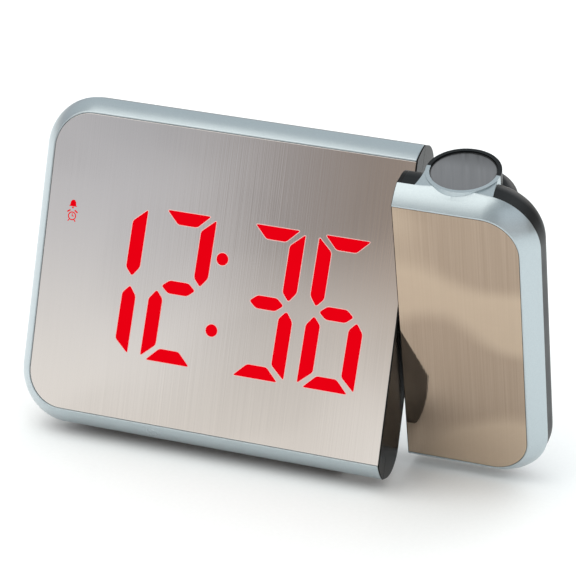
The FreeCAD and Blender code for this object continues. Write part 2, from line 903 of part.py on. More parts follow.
def key_board_plan():
    """The key board's left, right, low and high edges, its front and its back."""
    half = size("key_pitch") * (len(KEYS) - 1) / 2 + size("key_width")
    low = size("key_row") - size("key_height")
    high = size("snooze_row") + size("snooze_height") - size("post_radius")
    switch_top = size("cave_back") - 2 * size("moving_gap") - size("key_flange") - size("key_travel")
    back = switch_top - size("switch_height")
    left = -size("key_middle") - half
    right = half - size("key_middle")
    return left, right, low, high, back - size("board_thickness"), back


def board_posts():
    """Posts from the back wall to the key board's corners."""
    left, right, low, high, front, back = key_board_plan()
    inset = size("post_radius")
    length = "Sizes.cave_back - %f" % back
    posts = []
    for x in (left + inset, right - inset):
        for z in (low + inset, high - inset):
            posts.append(rod("Post", "Sizes.post_radius", length, (x, back, z), BACKWARD, LEAN))
    return posts


def key_board():
    """The board behind the keys with one switch under each."""
    left, right, low, high, front, back = key_board_plan()
    sizes = ("%f" % (right - left), "Sizes.board_thickness", "%f" % (high - low))
    solids = [block("KeyBoardPlate", sizes, (left, front, low))]
    for name, wide, tall, across, up in key_places():
        solids.append(rod("Switch", "Sizes.post_radius", "Sizes.switch_height", (across, back, up), BACKWARD))
    node(fuse("KeyBoard", solids), "key_board", LEAN)


# Pod: battery bay, sockets, speaker and feet


def bay_block(name, grow_wide, grow_tall, front, depth):
    """A block centred on the battery bay, seen from behind."""
    sizes = ("Sizes.bay_length + 2 * %f" % grow_wide, depth, "Sizes.bay_height + 2 * %f" % grow_tall)
    left = -size("bay_middle") - size("bay_length") / 2 - grow_wide
    low = -size("bay_drop") - size("bay_height") / 2 - grow_tall
    return block(name, sizes, (left, front, low))


def pod_cuts():
    """The battery bay's mouth, the door's recess, the sockets' holes and the speaker's slots."""
    inner = size("pod_inner")
    gap = size("moving_gap")
    recess = size("pod_back") - size("door_thickness") - gap
    lip = size("door_lip") + gap
    deep = "3 * Sizes.wall"
    cuts = [bay_block("BayMouth", 0, 0, inner - 1, deep), bay_block("DoorRecess", lip, lip, recess, deep)]
    usb_left = -size("socket_middle") - size("usb_width") / 2
    usb_low = -size("usb_drop") - size("usb_height") / 2
    cuts.append(block("UsbHole", ("Sizes.usb_width", deep, "Sizes.usb_height"), (usb_left, inner - 1, usb_low)))
    inlet = (-size("socket_middle"), inner - 1, -size("inlet_drop"))
    cuts.append(rod("InletHole", "Sizes.inlet_radius", deep, inlet, BACKWARD))
    for step in range(int(size("slot_count"))):
        up = (step - (size("slot_count") - 1) / 2) * size("slot_pitch")
        half = math.sqrt(size("speaker_radius") ** 2 - up ** 2) - size("slot_margin")
        low = up - size("speaker_drop") - size("slot_height") / 2
        corner = (-size("speaker_middle") - half, inner - 1, low)
        cuts.append(block("Slot", ("%f" % (2 * half), deep, "Sizes.slot_height"), corner))
    return cuts


def foot_places():
    """Each foot's name and middle: far enough back to stay out of sight behind the slab's lower edge."""
    inset = size("pod_round") + 2 * size("foot_radius")
    left = inset - size("pod_left")
    right = -size("pod_right") - inset
    front = size("low_y") + size("foot_front")
    rear = size("pod_back") - size("pod_round") - size("foot_radius")
    return [
        ("foot_front_left", left, front),
        ("foot_front_right", right, front),
        ("foot_rear_left", left, rear),
        ("foot_rear_right", right, rear),
    ]


def stud(name, across, depth):
    """A round rubber foot under the pod, its top sunk into the floor."""
    length = "Sizes.foot_sink - Sizes.pod_floor - Sizes.table_z"
    return rod(name, "Sizes.foot_radius", length, (across, depth, size("table_z")))


def feet():
    """The four feet, each with its lower edge bevelled."""
    table = size("table_z")
    for name, across, depth in foot_places():
        form = stud("Stud", across, depth)
        foot = bevelled(name, form, size("foot_bevel"), lambda edge: edge.BoundBox.ZMax < table + 0.01)
        node(foot, name, STAND)


def foot_seats():
    """The recesses that the feet sit in."""
    return [stud("FootSeat", across, depth) for name, across, depth in foot_places()]


def main_rear():
    """The dark moulded rear shell with its pod, and the glossy end cap."""
    slab = slab_back("MainSlab", "main", "main_back_far", "back_half", "back_corner", "back_length", "back_round")
    slab.Placement = LEAN
    cave = slab_back("MainCave", "main", "main_cave_far", "cave_half", "cave_corner", "cave_length", "cave_round")
    cave.Placement = LEAN
    node(end_cap("main", slab, LEAN), "main_end_cap", STAND)
    outside = fuse("MainOutside", [slab, pod_outside()])
    floor = "-pod_inner_floor"
    pod_cave = pod_form("PodCave", "-pod_inner_left", "pod_inner_length", "pod_inner", floor, "pod_inner_top")
    hollow = fuse("MainHollow", [cave, pod_cave, end_slice("MainSlice", "main")])
    shell = cut("MainShellForm", outside, hollow)
    carried = fuse("MainShellPosts", [shell] + shell_bosses(MAIN_SCREWS, LEAN) + board_posts())
    holes = screw_bores(MAIN_SCREWS, LEAN) + key_holes() + pod_cuts() + foot_seats()
    node(cut("MainRearShell", carried, fuse("MainHoles", holes)), "main_rear_shell", STAND)


def display():
    """The display block behind the lit bars and the board behind it."""
    left = -size("digit_margin") - size("digit_run") - size("display_border")
    right = size("display_border") - size("digit_margin")
    half = size("digit_height") / 2 + size("display_border")
    front = size("glass_thickness") + size("digit_seat")
    wide = "%f" % (right - left)
    tall = "%f" % (2 * half)
    low = -half - size("digit_drop")
    node(block("Display", (wide, "Sizes.display_depth", tall), (left, front, low)), "display_module", LEAN)
    behind = front + size("display_depth")
    wide = "%f" % (size("board_right") - left)
    node(block("Board", (wide, "Sizes.board_thickness", tall), (left, behind, low)), "main_board", LEAN)


def battery_bay():
    """The tray, the two cells, their contacts and the door that lifts off backward."""
    wall = size("bay_wall")
    front = size("pod_inner") - size("bay_depth")
    outside = bay_block("TrayOutside", wall, wall, front - wall, "Sizes.bay_depth + Sizes.bay_wall")
    inside = bay_block("TrayInside", 0, 0, front, "2 * Sizes.bay_depth")
    node(cut("Tray", outside, inside), "battery_tray", STAND)
    depth = front + size("cell_radius")
    start = -size("bay_middle") - size("bay_length") / 2
    plate = size("contact_thickness")
    half = size("contact_width") / 2
    contacts = []
    for name, side in (("battery_lower", -1), ("battery_upper", 1)):
        up = side * size("bay_height") / 4 - size("bay_drop")
        for across in (start, start + size("bay_length") - plate):
            sizes = ("Sizes.contact_thickness", "Sizes.contact_width", "Sizes.contact_width")
            contacts.append(block("Plate", sizes, (across, depth - half, up - half)))
        coil = doc.addObject("Part::Cone", "Spring")
        coil.setExpression("Radius1", "Sizes.spring_foot")
        coil.setExpression("Radius2", "Sizes.spring_tip")
        coil.setExpression("Height", "Sizes.spring_length")
        coil.Placement = FreeCAD.Placement(vec(start + plate, depth, up), SIDEWAYS)
        contacts.append(coil)
        can_start = start + plate + size("spring_length")
        can_length = "Sizes.cell_length - Sizes.cell_nub"
        can = rod(name + "Can", "Sizes.cell_radius", can_length, (can_start, depth, up), SIDEWAYS)
        nub_start = can_start + size("cell_length") - size("cell_nub")
        nub = rod(name + "Nub", "Sizes.nub_radius", "Sizes.cell_nub", (nub_start, depth, up), SIDEWAYS)
        node(fuse(name + "Cell", [can, nub]), name, STAND)
    node(group("Contacts", contacts), "battery_contacts", STAND)
    lip = size("door_lip")
    back = size("pod_back") - size("door_thickness")
    door = bay_block("DoorPlate", lip, lip, back, "Sizes.door_thickness")
    grips = []
    count = int(size("grip_count"))
    for step in range(count):
        across = (2 * step - count + 0.5) * size("slot_height") - size("bay_middle")
        corner = (across, size("pod_back") - size("grip_depth"), size("bay_height") / 4 - size("bay_drop"))
        grips.append(block("Grip", ("Sizes.slot_height", "Sizes.door_thickness", "Sizes.grip_height"), corner))
    node(cut("Door", door, fuse("Grips", grips)), "battery_door", STAND)


def sockets():
    """The USB outlet and the power inlet."""
    skin = size("usb_skin")
    back = size("pod_back") - skin / 2
    across = -size("socket_middle")
    front = back - size("usb_depth")
    left = across - size("usb_width") / 2
    low = -size("usb_drop") - size("usb_height") / 2
    can = block("UsbCan", ("Sizes.usb_width", "Sizes.usb_depth", "Sizes.usb_height"), (left, front, low))
    inner = ("Sizes.usb_width - 2 * Sizes.usb_skin", "Sizes.usb_depth", "Sizes.usb_height - 2 * Sizes.usb_skin")
    mouth = block("UsbMouth", inner, (left + skin, front + 2 * skin, low + skin))
    wide = "Sizes.usb_width - 4 * Sizes.usb_skin"
    deep = "Sizes.usb_depth - 2 * Sizes.usb_skin"
    tongue_corner = (left + 2 * skin, front, low + size("tongue_rise"))
    tongue = block("UsbTongue", (wide, deep, "Sizes.tongue_thickness"), tongue_corner)
    node(fuse("Usb", [cut("UsbShell", can, mouth), tongue]), "usb_socket", STAND)
    place = (across, back - size("inlet_depth"), -size("inlet_drop"))
    barrel = rod("InletBarrel", "Sizes.inlet_radius", "Sizes.inlet_depth", place, BACKWARD)
    bore_place = (across, place[1] + 2 * skin, place[2])
    bore = rod("InletBore", "Sizes.inlet_bore", "Sizes.inlet_depth", bore_place, BACKWARD)
    pin = rod("InletPin", "Sizes.inlet_pin", "Sizes.inlet_depth - 2 * Sizes.usb_skin", place, BACKWARD)
    node(fuse("Inlet", [cut("InletShell", barrel, bore), pin]), "power_inlet", STAND)


def speaker():
    """The loudspeaker against the inside of its slots."""
    rim_front = size("pod_inner") - size("speaker_rim")
    centre = (-size("speaker_middle"), rim_front, -size("speaker_drop"))
    basket = rod("Basket", "Sizes.speaker_radius", "Sizes.speaker_rim", centre, BACKWARD)
    behind = (centre[0], rim_front - size("magnet_depth"), centre[2])
    magnet = rod("Magnet", "Sizes.magnet_radius", "Sizes.magnet_depth", behind, BACKWARD)
    node(fuse("Speaker", [basket, magnet]), "speaker", STAND)


# Pivot between the units


def tube(name, outer, inner, length, start, depth, frame=STAND):
    """A hollow cylinder along X on the pivot's axis."""
    solid = rod(name + "Rod", outer, length, (start, depth, 0), SIDEWAYS)
    bore = rod(name + "Bore", inner, "%s + 2" % length, (start - 1, depth, 0), SIDEWAYS)
    return cut(name, solid, bore)


def pivot():
    """The bush and washer of the main unit, and the hollow shaft and nut of the projector unit."""
    depth = size("pivot_depth")
    play = "Sizes.shaft_radius + Sizes.shaft_play"
    bush = tube("Bush", "Sizes.bush_radius", play, "Sizes.bush_length", -size("bush_length"), depth)
    node(bush, "pivot_bushing", LEAN)
    washer = tube("Washer", "Sizes.washer_radius", play, "Sizes.parting_gap - Sizes.thrust_gap", 0, depth)
    node(washer, "friction_washer", LEAN)
    cap = size("proj_cap")
    start = size("shaft_start")
    reach = "Sizes.proj_cap + Sizes.hub_length - Sizes.shaft_start"
    shaft = rod("ShaftRod", "Sizes.shaft_radius", reach, (start, depth, 0), SIDEWAYS)
    hub = rod("HubDisc", "Sizes.hub_radius", "Sizes.hub_length", (cap, depth, 0), SIDEWAYS)
    bore = rod("ShaftBore", "Sizes.shaft_bore", reach + " + 2", (start - 1, depth, 0), SIDEWAYS)
    node(cut("Shaft", fuse("ShaftForm", [shaft, hub]), bore), "pivot_shaft", PROJECTOR)
    hexagon = doc.addObject("Part::Prism", "NutForm")
    hexagon.Polygon = 6
    hexagon.setExpression("Circumradius", "Sizes.nut_radius")
    hexagon.setExpression("Height", "Sizes.nut_length")
    nut_end = size("nut_end")
    hexagon.Placement = FreeCAD.Placement(vec(nut_end, depth, 0), SIDEWAYS)
    hole = rod("NutBore", "Sizes.shaft_radius", "Sizes.nut_length + 2", (nut_end - 1, depth, 0), SIDEWAYS)
    node(cut("Nut", hexagon, hole), "shaft_nut", PROJECTOR)


# Projector unit


def rectangle(body, name, offset, left, right, low, high):
    """A sketch with one upright rectangle."""
    sketch = new_sketch(body, name, "XZ_Plane", offset)
    polygon(sketch, [(left, low), (right, low), (right, high), (left, high)])
    return sketch


def collar_front(body):
    """The front half of the barrel's collar and the saddle that runs from the ridge up to it."""
    sections = [
        rectangle(body, "Root", "-Sizes.bezel_depth", "saddle_left", "saddle_right", "collar_foot", "ridge_half"),
        rectangle(body, "Waist", "-Sizes.saddle_depth", "waist_left", "waist_right", "collar_foot", "waist_top"),
        rectangle(body, "Crest", "-Sizes.barrel_depth", "crest_left", "crest_right", "collar_foot", "collar_top"),
    ]
    doc.recompute()
    loft(body, sections)
    half = new_sketch(body, "HalfDisc", "XY_Plane", "Sizes.collar_foot")
    middle = (size("barrel_x"), size("barrel_depth"))
    radius = size("collar_radius")
    bow = arc(half, middle, radius, 180, 360)
    chord = line(half, (middle[0] - radius, middle[1]), (middle[0] + radius, middle[1]))
    for rule in (
        ("Coincident", bow, 1, chord, 1),
        ("Coincident", bow, 2, chord, 2),
        ("Horizontal", chord),
        ("PointOnObject", bow, 3, chord),
    ):
        half.addConstraint(Sketcher.Constraint(*rule))
    bind(half, "DistanceX", (-1, 1, bow, 3), "barrel_x")
    bind(half, "DistanceY", (-1, 1, bow, 3), "barrel_depth")
    bind(half, "Radius", (bow,), "collar_radius")
    doc.recompute()
    pad(body, half, "saddle_height")


def projector_bezel():
    """The silver frame round the right part of the face, blended into the barrel's collar."""
    body = new_body("ProjectorBezel")
    flared_ring(body, "proj")
    collar_front(body)
    glass_seat(body, "proj", "proj_ledge_round")
    bore = new_sketch(body, "Bore", "XY_Plane", "Sizes.collar_top")
    ring(bore, "barrel_x", "barrel_depth", "collar_bore")
    pocket(body, bore, "collar_length")
    screw_bosses(body, PROJECTOR_SCREWS)
    node(body, "projector_bezel", PROJECTOR)


def upright(name, radius, length, foot):
    """A cylinder on the barrel's axis."""
    return rod(name, radius, length, (size("barrel_x"), size("barrel_depth"), foot))


def half_space(name, depth):
    """Everything in front of a depth."""
    return block(name, (str(BIG), str(BIG), str(BIG)), (-BIG / 2, depth - BIG, -BIG / 2))


def bulge(name, shrink):
    """The upright round back of the projector housing, smaller by a wall where it is hollow."""
    foot = shrink - size("bulge_bottom")
    length = "Sizes.bulge_top + Sizes.bulge_bottom - 2 * %f" % shrink
    form = upright(name + "Rod", "Sizes.bulge_radius - %f" % shrink, length, foot)
    doc.recompute()
    made = doc.addObject("Part::Fillet", name + "Round")
    made.Base = form
    edges = []
    for index, edge in enumerate(form.Shape.Edges):
        box = edge.BoundBox
        if box.ZMax < foot + 0.01:
            radius = size("bulge_bottom_round") - shrink
            edges.append((index + 1, radius, radius))
        elif box.ZMin > size("bulge_top") - shrink - 0.01:
            radius = size("bulge_top_round") - shrink
            edges.append((index + 1, radius, radius))
    made.Edges = edges
    doc.recompute()
    return cut(name, made, half_space(name + "Front", (size("bezel_depth") + size("slab_depth")) / 2))


def projector_rear():
    """The dark moulded rear shell with the round back and the collar's rear half."""
    slab = slab_back("ProjSlab", "proj", "proj_back_far", "back_half", "back_corner", "back_length", "proj_round")
    cave = slab_back("ProjCave", "proj", "proj_cave_far", "cave_half", "cave_corner", "cave_length", "proj_cave_round")
    node(end_cap("proj", slab, STAND), "projector_end_cap", PROJECTOR)
    outside = fuse("ProjOutside", [slab, bulge("Bulge", 0)])
    hollow = fuse("ProjHollow", [cave, bulge("BulgeCave", size("wall")), end_slice("ProjSlice", "proj")])
    shell = cut("ProjShellForm", outside, hollow)
    foot = size("collar_top") - size("collar_length")
    collar = upright("CollarRod", "Sizes.collar_radius", "Sizes.collar_length", foot)
    rear_collar = cut("RearCollar", collar, half_space("CollarFront", size("barrel_depth")))
    bosses = shell_bosses(PROJECTOR_SCREWS, STAND)
    carried = fuse("ProjShellPosts", [shell, rear_collar] + bosses)
    mould = new_body("CollarMould")
    collar_front(mould)
    bore = upright("ShellBore", "Sizes.collar_bore", "2 * Sizes.collar_length", foot)
    holes = fuse("ProjHoles", [mould, bore] + screw_bores(PROJECTOR_SCREWS, STAND))
    node(cut("ProjRearShell", carried, holes), "projector_rear_shell", PROJECTOR)


def projector_optics():
    """The turning barrel with its window and lens, and the lamp, slide and light box under it."""
    foot = size("barrel_foot")
    top = size("barrel_top")
    wall = upright("BarrelRod", "Sizes.barrel_radius", "Sizes.barrel_length", foot)
    bore = upright("BarrelBore", "Sizes.barrel_bore", "2 * Sizes.barrel_length", foot - 1)
    shelf_top = top - size("window_sink") - size("window_thickness")
    throat = upright("Throat", "Sizes.lens_radius", "2 * Sizes.barrel_length", foot - 1)
    pipe = cut("Pipe", wall, bore)
    seat_length = "Sizes.lens_drop - Sizes.window_sink - Sizes.window_thickness"
    sleeve = upright("Sleeve", "Sizes.barrel_radius", seat_length, top - size("lens_drop"))
    barrel = fuse("BarrelForm", [pipe, cut("SleeveForm", sleeve, throat)])
    node(barrel, "focus_barrel", PROJECTOR)
    window = upright("Window", "Sizes.barrel_bore", "Sizes.window_thickness", shelf_top)
    node(window, "lens_window", PROJECTOR)
    lens = upright("LensRod", "Sizes.lens_radius", "Sizes.lens_thickness", top - size("lens_drop"))
    node(lens, "projection_lens", PROJECTOR)
    floor = size("wall") - size("bulge_bottom")
    box_top = foot - size("moving_gap")
    box = upright("LightRod", "Sizes.light_radius", "%f" % (box_top - floor), floor)
    inner_foot = floor + size("light_floor")
    hollow = upright("LightBore", "Sizes.light_radius - Sizes.light_wall", "%f" % BIG, inner_foot)
    node(cut("LightBox", box, hollow), "light_box", PROJECTOR)
    inside = "Sizes.light_radius - Sizes.light_wall"
    node(upright("Lamp", inside, "Sizes.board_thickness", inner_foot), "led_board", PROJECTOR)
    slide_foot = box_top - size("slide_drop")
    node(upright("Slide", inside, "Sizes.window_thickness", slide_foot), "lcd_slide", PROJECTOR)


def projector_mirror():
    """The mirror of the projector unit."""
    node(mirror_blank("ProjectorMirror", "proj"), "projector_mirror", PROJECTOR)


def build():
    """Makes every piece."""
    main_bezel()
    main_face()
    display()
    main_rear()
    screws_of("case_screws", MAIN_SCREWS, LEAN)
    keys()
    key_board()
    battery_bay()
    sockets()
    speaker()
    feet()
    pivot()
    projector_bezel()
    projector_mirror()
    projector_rear()
    projector_optics()
    screws_of("projector_screws", PROJECTOR_SCREWS, PROJECTOR)
    doc.recompute()


def place_nodes():
    """Moves every piece from its frame to the world, with the origin under the whole clock's middle."""
    shapes = []
    for thing, frame in nodes:
        shape = thing.Shape.copy()
        shape.Placement = frame.multiply(shape.Placement)
        shapes.append(shape)
    box = Part.makeCompound(shapes).optimalBoundingBox(False, False)
    shift = FreeCAD.Placement(vec(-box.Center.x, -box.Center.y, -box.ZMin), FreeCAD.Rotation())
    for thing, frame in nodes:
        thing.Placement = shift.multiply(frame).multiply(thing.Placement)
    print("size %.2f %.2f %.2f" % (box.XLength, box.YLength, box.ZLength))
    print("origin %.3f %.3f %.3f" % tuple(shift.Base))


def check():
    """Stops where an object failed or a piece has no valid solid."""
    for thing in doc.Objects:
        if "Invalid" in thing.State or "Error" in thing.State:
            raise RuntimeError("%s is %s" % (thing.Label, thing.State))
    for thing, frame in nodes:
        shape = thing.Shape
        if shape.isNull() or not shape.isValid() or not shape.Solids:
            raise RuntimeError("%s has no valid solid" % thing.Label)
        print("%-24s solids %d volume %.1f" % (thing.Label, len(shape.Solids), shape.Volume))


build()
check()
place_nodes()
os.makedirs("parts", exist_ok=True)
for thing, frame in nodes:
    thing.Shape.exportStep("parts/%s.step" % thing.Label)
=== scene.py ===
# %% [markdown]
# # A mirror-faced alarm clock with a turning projector unit
#
# The clock is a slab that leans back 15 degrees on a pod behind it. Its front is a
# half-silvered mirror with red digits shining through, held in a flared silver frame. A
# short unit at the right end turns about a horizontal pivot and throws the time on a wall
# from a round lens in its top. The modelled solids come in as a fixed frame, and this file
# gives them their finishes and swaps the pieces that show most for finer ones.

# %% Load the frame
import json
import math

import bmesh
import bpy
from mathutils import Matrix, Vector


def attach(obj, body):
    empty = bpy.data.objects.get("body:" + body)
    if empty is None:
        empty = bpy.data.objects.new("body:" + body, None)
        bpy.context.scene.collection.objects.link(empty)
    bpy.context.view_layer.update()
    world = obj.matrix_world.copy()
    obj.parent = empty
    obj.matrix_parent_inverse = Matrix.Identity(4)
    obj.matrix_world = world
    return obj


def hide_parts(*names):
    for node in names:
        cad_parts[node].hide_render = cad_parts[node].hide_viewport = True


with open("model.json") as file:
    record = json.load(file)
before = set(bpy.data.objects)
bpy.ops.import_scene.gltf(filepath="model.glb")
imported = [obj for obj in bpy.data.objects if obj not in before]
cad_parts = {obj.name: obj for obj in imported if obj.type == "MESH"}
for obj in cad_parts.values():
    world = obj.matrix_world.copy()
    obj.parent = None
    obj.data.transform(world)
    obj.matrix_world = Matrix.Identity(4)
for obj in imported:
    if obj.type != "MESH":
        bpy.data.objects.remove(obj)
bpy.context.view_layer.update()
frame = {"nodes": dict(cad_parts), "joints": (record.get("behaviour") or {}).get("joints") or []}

nodes = frame["nodes"]

# %% [markdown]
# ## Working directions
#
# A designer draws the leaning slab upright and tilts it last. The same is done here: each
# piece is drawn in millimetres in its own unit, with X along the clock, Y into the slab and
# Z up the face, and one matrix per unit then puts it in the world. The pivot between the
# units is the one point that both share, so both matrices start from it.

# %% The two places
MM = 0.001
LEAN = -15.0
TURN = 31.8
PIVOT_DEPTH = 11.5

joints = {joint["name"]: joint for joint in frame["joints"]}
pivot = Vector(joints["projector_tilt"]["pos_m"])


def unit_place(angle):
    """Where a unit stands once it is turned by an angle about the pivot."""
    turn = Matrix.Rotation(math.radians(angle), 4, "X")
    return Matrix.Translation(pivot) @ turn @ Matrix.Translation((0, -PIVOT_DEPTH * MM, 0))


CLOCK = unit_place(LEAN)
PROJECTOR = unit_place(LEAN + TURN)
print("clock origin", [round(value, 4) for value in CLOCK.translation])

# %% [markdown]
# ## Camera
#
# A long lens from about 1.1 m, a little above and to the right, gives the almost parallel
# edges that a product shot has. Its three directions are worked out from an azimuth, a
# height and a slight roll, and they are the columns of the camera's matrix.

# %% Camera
CAMERA_AZIMUTH = 20.4786
CAMERA_HEIGHT = 21.0217
CAMERA_ROLL = 1.774
CAMERA_DISTANCE = 1.13342
CAMERA_TARGET = Vector((0.000857, -0.003703, 0.062238))
SENSOR_WIDTH = 36.0
FOCAL_LENGTH = 203.206
NEAREST_SEEN = 0.05

azimuth = math.radians(CAMERA_AZIMUTH)
height = math.radians(CAMERA_HEIGHT)
roll = math.radians(CAMERA_ROLL)
level_share = math.cos(height)
back = Vector((math.sin(azimuth) * level_share, -math.cos(azimuth) * level_share, math.sin(height)))
level = Vector((math.cos(azimuth), math.sin(azimuth), 0))
upward = back.cross(level)
right = level * math.cos(roll) + upward * math.sin(roll)
top = upward * math.cos(roll) - level * math.sin(roll)

camera = bpy.data.objects.new("camera", bpy.data.cameras.new("camera"))
camera.data.sensor_width = SENSOR_WIDTH
camera.data.lens = FOCAL_LENGTH
camera.data.clip_start = NEAREST_SEEN
camera.matrix_world = Matrix.Translation(CAMERA_TARGET + back * CAMERA_DISTANCE) @ Matrix(
    (right, top, back)
).transposed().to_4x4()
bpy.context.scene.collection.objects.link(camera)
bpy.context.scene.camera = camera
print("camera at", [round(value, 3) for value in camera.matrix_world.translation])

# %% [markdown]
# ## Colours
#
# Colours are written as sRGB hex values, the way a paint chip is, and shaders want linear
# light, so one function converts them.


# %% Colours
def linear(code):
    """The linear colour of an sRGB hex value."""
    parts = [int(code[i : i + 2], 16) / 255 for i in (1, 3, 5)]
    return [c / 12.92 if c <= 0.04045 else ((c + 0.055) / 1.055) ** 2.4 for c in parts] + [1.0]


print("half grey is", round(linear("#808080")[0], 3), "of full light")

# %% [markdown]
# ## Nodes and patterns
#
# A small function adds a shader node, sets it up and links it. A second one starts a
# material, with the object's own coordinates turned to millimetres, so that every pattern's
# size can be given as the real one. Nearly all finishes here are a soft random pattern that
# slightly changes the colour, the gloss or the slope of the surface, or all three at once,
# and the last two functions do just that.


# %% Nodes and new materials
def add_node(tree, kind, inputs=None, **settings):
    """Adds a node. Inputs are numbers, colours or another node's output."""
    made = tree.nodes.new(kind)
    for name, value in settings.items():
        setattr(made, name, value)
    for name, value in (inputs or {}).items():
        if isinstance(value, bpy.types.NodeSocket):
            tree.links.new(value, made.inputs[name])
        else:
            made.inputs[name].default_value = value
    return made


def new_material(name, colour, metallic, roughness, **sockets):
    """A material with its main shader and the object's own coordinates in millimetres."""
    made = bpy.data.materials.new(name)
    made.use_nodes = True
    tree = made.node_tree
    shader = tree.nodes["Principled BSDF"]
    shader.inputs["Base Color"].default_value = linear(colour)
    shader.inputs["Metallic"].default_value = metallic
    shader.inputs["Roughness"].default_value = roughness
    for name, value in sockets.items():
        shader.inputs[name.replace("_", " ")].default_value = value
    place = add_node(tree, "ShaderNodeTexCoord")
    inputs = {"Vector": place.outputs["Object"], "Scale": (1 / MM,) * 3}
    scale = add_node(tree, "ShaderNodeMapping", inputs)
    return made, tree, shader, scale.outputs["Vector"]


# %% Patterns and what they carry
def waver(tree, millimetres, size, detail=1.0, turn=0.0):
    """A soft random pattern whose features have three sizes in millimetres."""
    inputs = {"Vector": millimetres, "Scale": size, "Rotation": (0, 0, math.radians(turn))}
    spread = add_node(tree, "ShaderNodeMapping", inputs, vector_type="TEXTURE")
    noise = {"Vector": spread.outputs["Vector"], "Scale": 1.0, "Detail": detail}
    return add_node(tree, "ShaderNodeTexNoise", noise).outputs["Fac"]


def vary(tree, shader, pattern, tints=None, gloss=None, bump=None):
    """Lets a pattern carry two tints, two values of gloss, or a relief of a strength and depth."""
    tone = None
    if tints:
        inputs = {0: pattern, 6: linear(tints[0]), 7: linear(tints[1])}
        tone = add_node(tree, "ShaderNodeMix", inputs, data_type="RGBA").outputs[2]
        tree.links.new(tone, shader.inputs["Base Color"])
    if gloss:
        inputs = {"Value": pattern, "To Min": gloss[0], "To Max": gloss[1]}
        rough = add_node(tree, "ShaderNodeMapRange", inputs).outputs["Result"]
        tree.links.new(rough, shader.inputs["Roughness"])
    if bump:
        inputs = {"Height": pattern, "Strength": bump[0], "Distance": bump[1] * MM}
        relief = add_node(tree, "ShaderNodeBump", inputs).outputs["Normal"]
        tree.links.new(relief, shader.inputs["Normal"])
    return tone


# %% [markdown]
# ## Silver frame
#
# The frame is a moulded ABS ring with a silver-blue metallic paint under a satin lacquer. The
# flakes lie flat, so it reflects like metal, while the lacquer spreads every highlight. Two
# noises do this: one slowly shifts the gloss, as sprayed lacquer does, and one is the flake
# itself, 0.12 mm in the real paint and drawn at 0.35 mm so that it shows at all.

# %% Satin silver paint on ABS
FLAKE = 0.35
SPRAY = 30

silver_paint, tree, shader, mm = new_material(
    "satin_silver_paint_on_abs", "#B8C3C7", 0.88, 0.3, Coat_Weight=0.15, Coat_Roughness=0.3
)
vary(tree, shader, waver(tree, mm, (SPRAY,) * 3, 2.0), gloss=(0.25, 0.33))
flake = waver(tree, mm, (FLAKE,) * 3)
vary(tree, shader, flake, tints=("#B0BBC0", "#C3CDD0"), bump=(0.05, 0.02))
print("silver paint ready")

# %% [markdown]
# ## Mirror
#
# The face is acrylic sheet with a half-silvered back, so it mirrors the room but lets the
# digits through. The coating keeps the sheet's fine vertical hairlines, about 0.1 mm apart.
# Here they are drawn 0.45 mm wide and 60 mm long, as a slight change of tint and of slope.
# A third tint is mixed in over wide soft patches, a painted reflection of soft shapes in the
# room. The projector unit's mirror gets warmer, browner tints, a painted reflection of warm
# surroundings.

# %% Half-silvered acrylic
HAIRLINE_WIDE = 0.45
HAIRLINE_LONG = 60
PATCH = (45, 45, 30)


def mirror_coat(name, dark, light, painted_reflection_tint):
    """A mirror whose tint wavers from hairline to hairline, with a painted reflection tint in wide
    soft patches.
    """
    made, tree, shader, mm = new_material(
        name, light, 1.0, 0.05, Coat_Weight=0.2, Coat_Roughness=0.03
    )
    hair = waver(tree, mm, (HAIRLINE_WIDE, HAIRLINE_LONG, HAIRLINE_LONG), 3.0)
    tone = vary(tree, shader, hair, tints=(dark, light), bump=(0.15, 0.03))
    # Painted reflection: a third tint mixed in over wide soft patches.
    painted_reflection_patches = waver(tree, mm, PATCH, 0.0)
    inputs = {"Value": painted_reflection_patches, "From Min": 0.42, "From Max": 0.6, "To Max": 0.7}
    share = add_node(tree, "ShaderNodeMapRange", inputs, interpolation_type="SMOOTHSTEP")
    inputs = {0: share.outputs["Result"], 6: tone, 7: linear(painted_reflection_tint)}
    mixed = add_node(tree, "ShaderNodeMix", inputs, data_type="RGBA")
    tree.links.new(mixed.outputs[2], shader.inputs["Base Color"])
    return made


# Both mirrors carry painted reflection patches, and the projector mirror's warm brown tints are a
# painted reflection too.
mirror_silver = mirror_coat("half_silvered_acrylic", "#DFDBD7", "#EDE9E5", "#ECE8E4")
mirror_painted_warm_reflection = mirror_coat("half_silvered_acrylic_warm", "#9A8775", "#B5A290", "#CAB6A0")
print("mirrors ready")

# %% [markdown]
# ## Lit digits
#
# Red diodes fill light guides behind the mirror. Seen through it each bar is an even red with
# a thin pale rim, where light leaks sideways into the frosted film round the guide. Both give
# light of their own, so their colour holds whatever the lamps do.


# %% Light of the digits
def glowing(name, colour, glow, strength, size, dark, light):
    """A surface that gives light of its own, a little uneven."""
    made, tree, shader, mm = new_material(name, colour, 0.0, 0.6, Specular_IOR_Level=0.0)
    shader.inputs["Emission Color"].default_value = linear(glow)
    shader.inputs["Emission Strength"].default_value = strength
    vary(tree, shader, waver(tree, mm, (size,) * 3), tints=(dark, light))
    return made


red_light = glowing("red_diode_light", "#3A0004", "#EE0010", 0.9, 6.0, "#2C0003", "#440006")
pale_light = glowing("frosted_film_glow", "#C9A8A4", "#F0B8B4", 0.2, 0.8, "#B99490", "#D5B4B0")
print("lights ready")

# %% [markdown]
# ## Dark plastics
#
# The rear shells are charcoal ABS from a spark-eroded mould, whose grain of about 0.2 mm
# scatters light evenly; it is drawn at 0.45 mm, so that it shows. The same resin, polished,
# closes the flat ends of both units. The barrel is black acetal off a lathe. Pieces that are
# seen only when the battery door is off, or through an opening, get the same care.


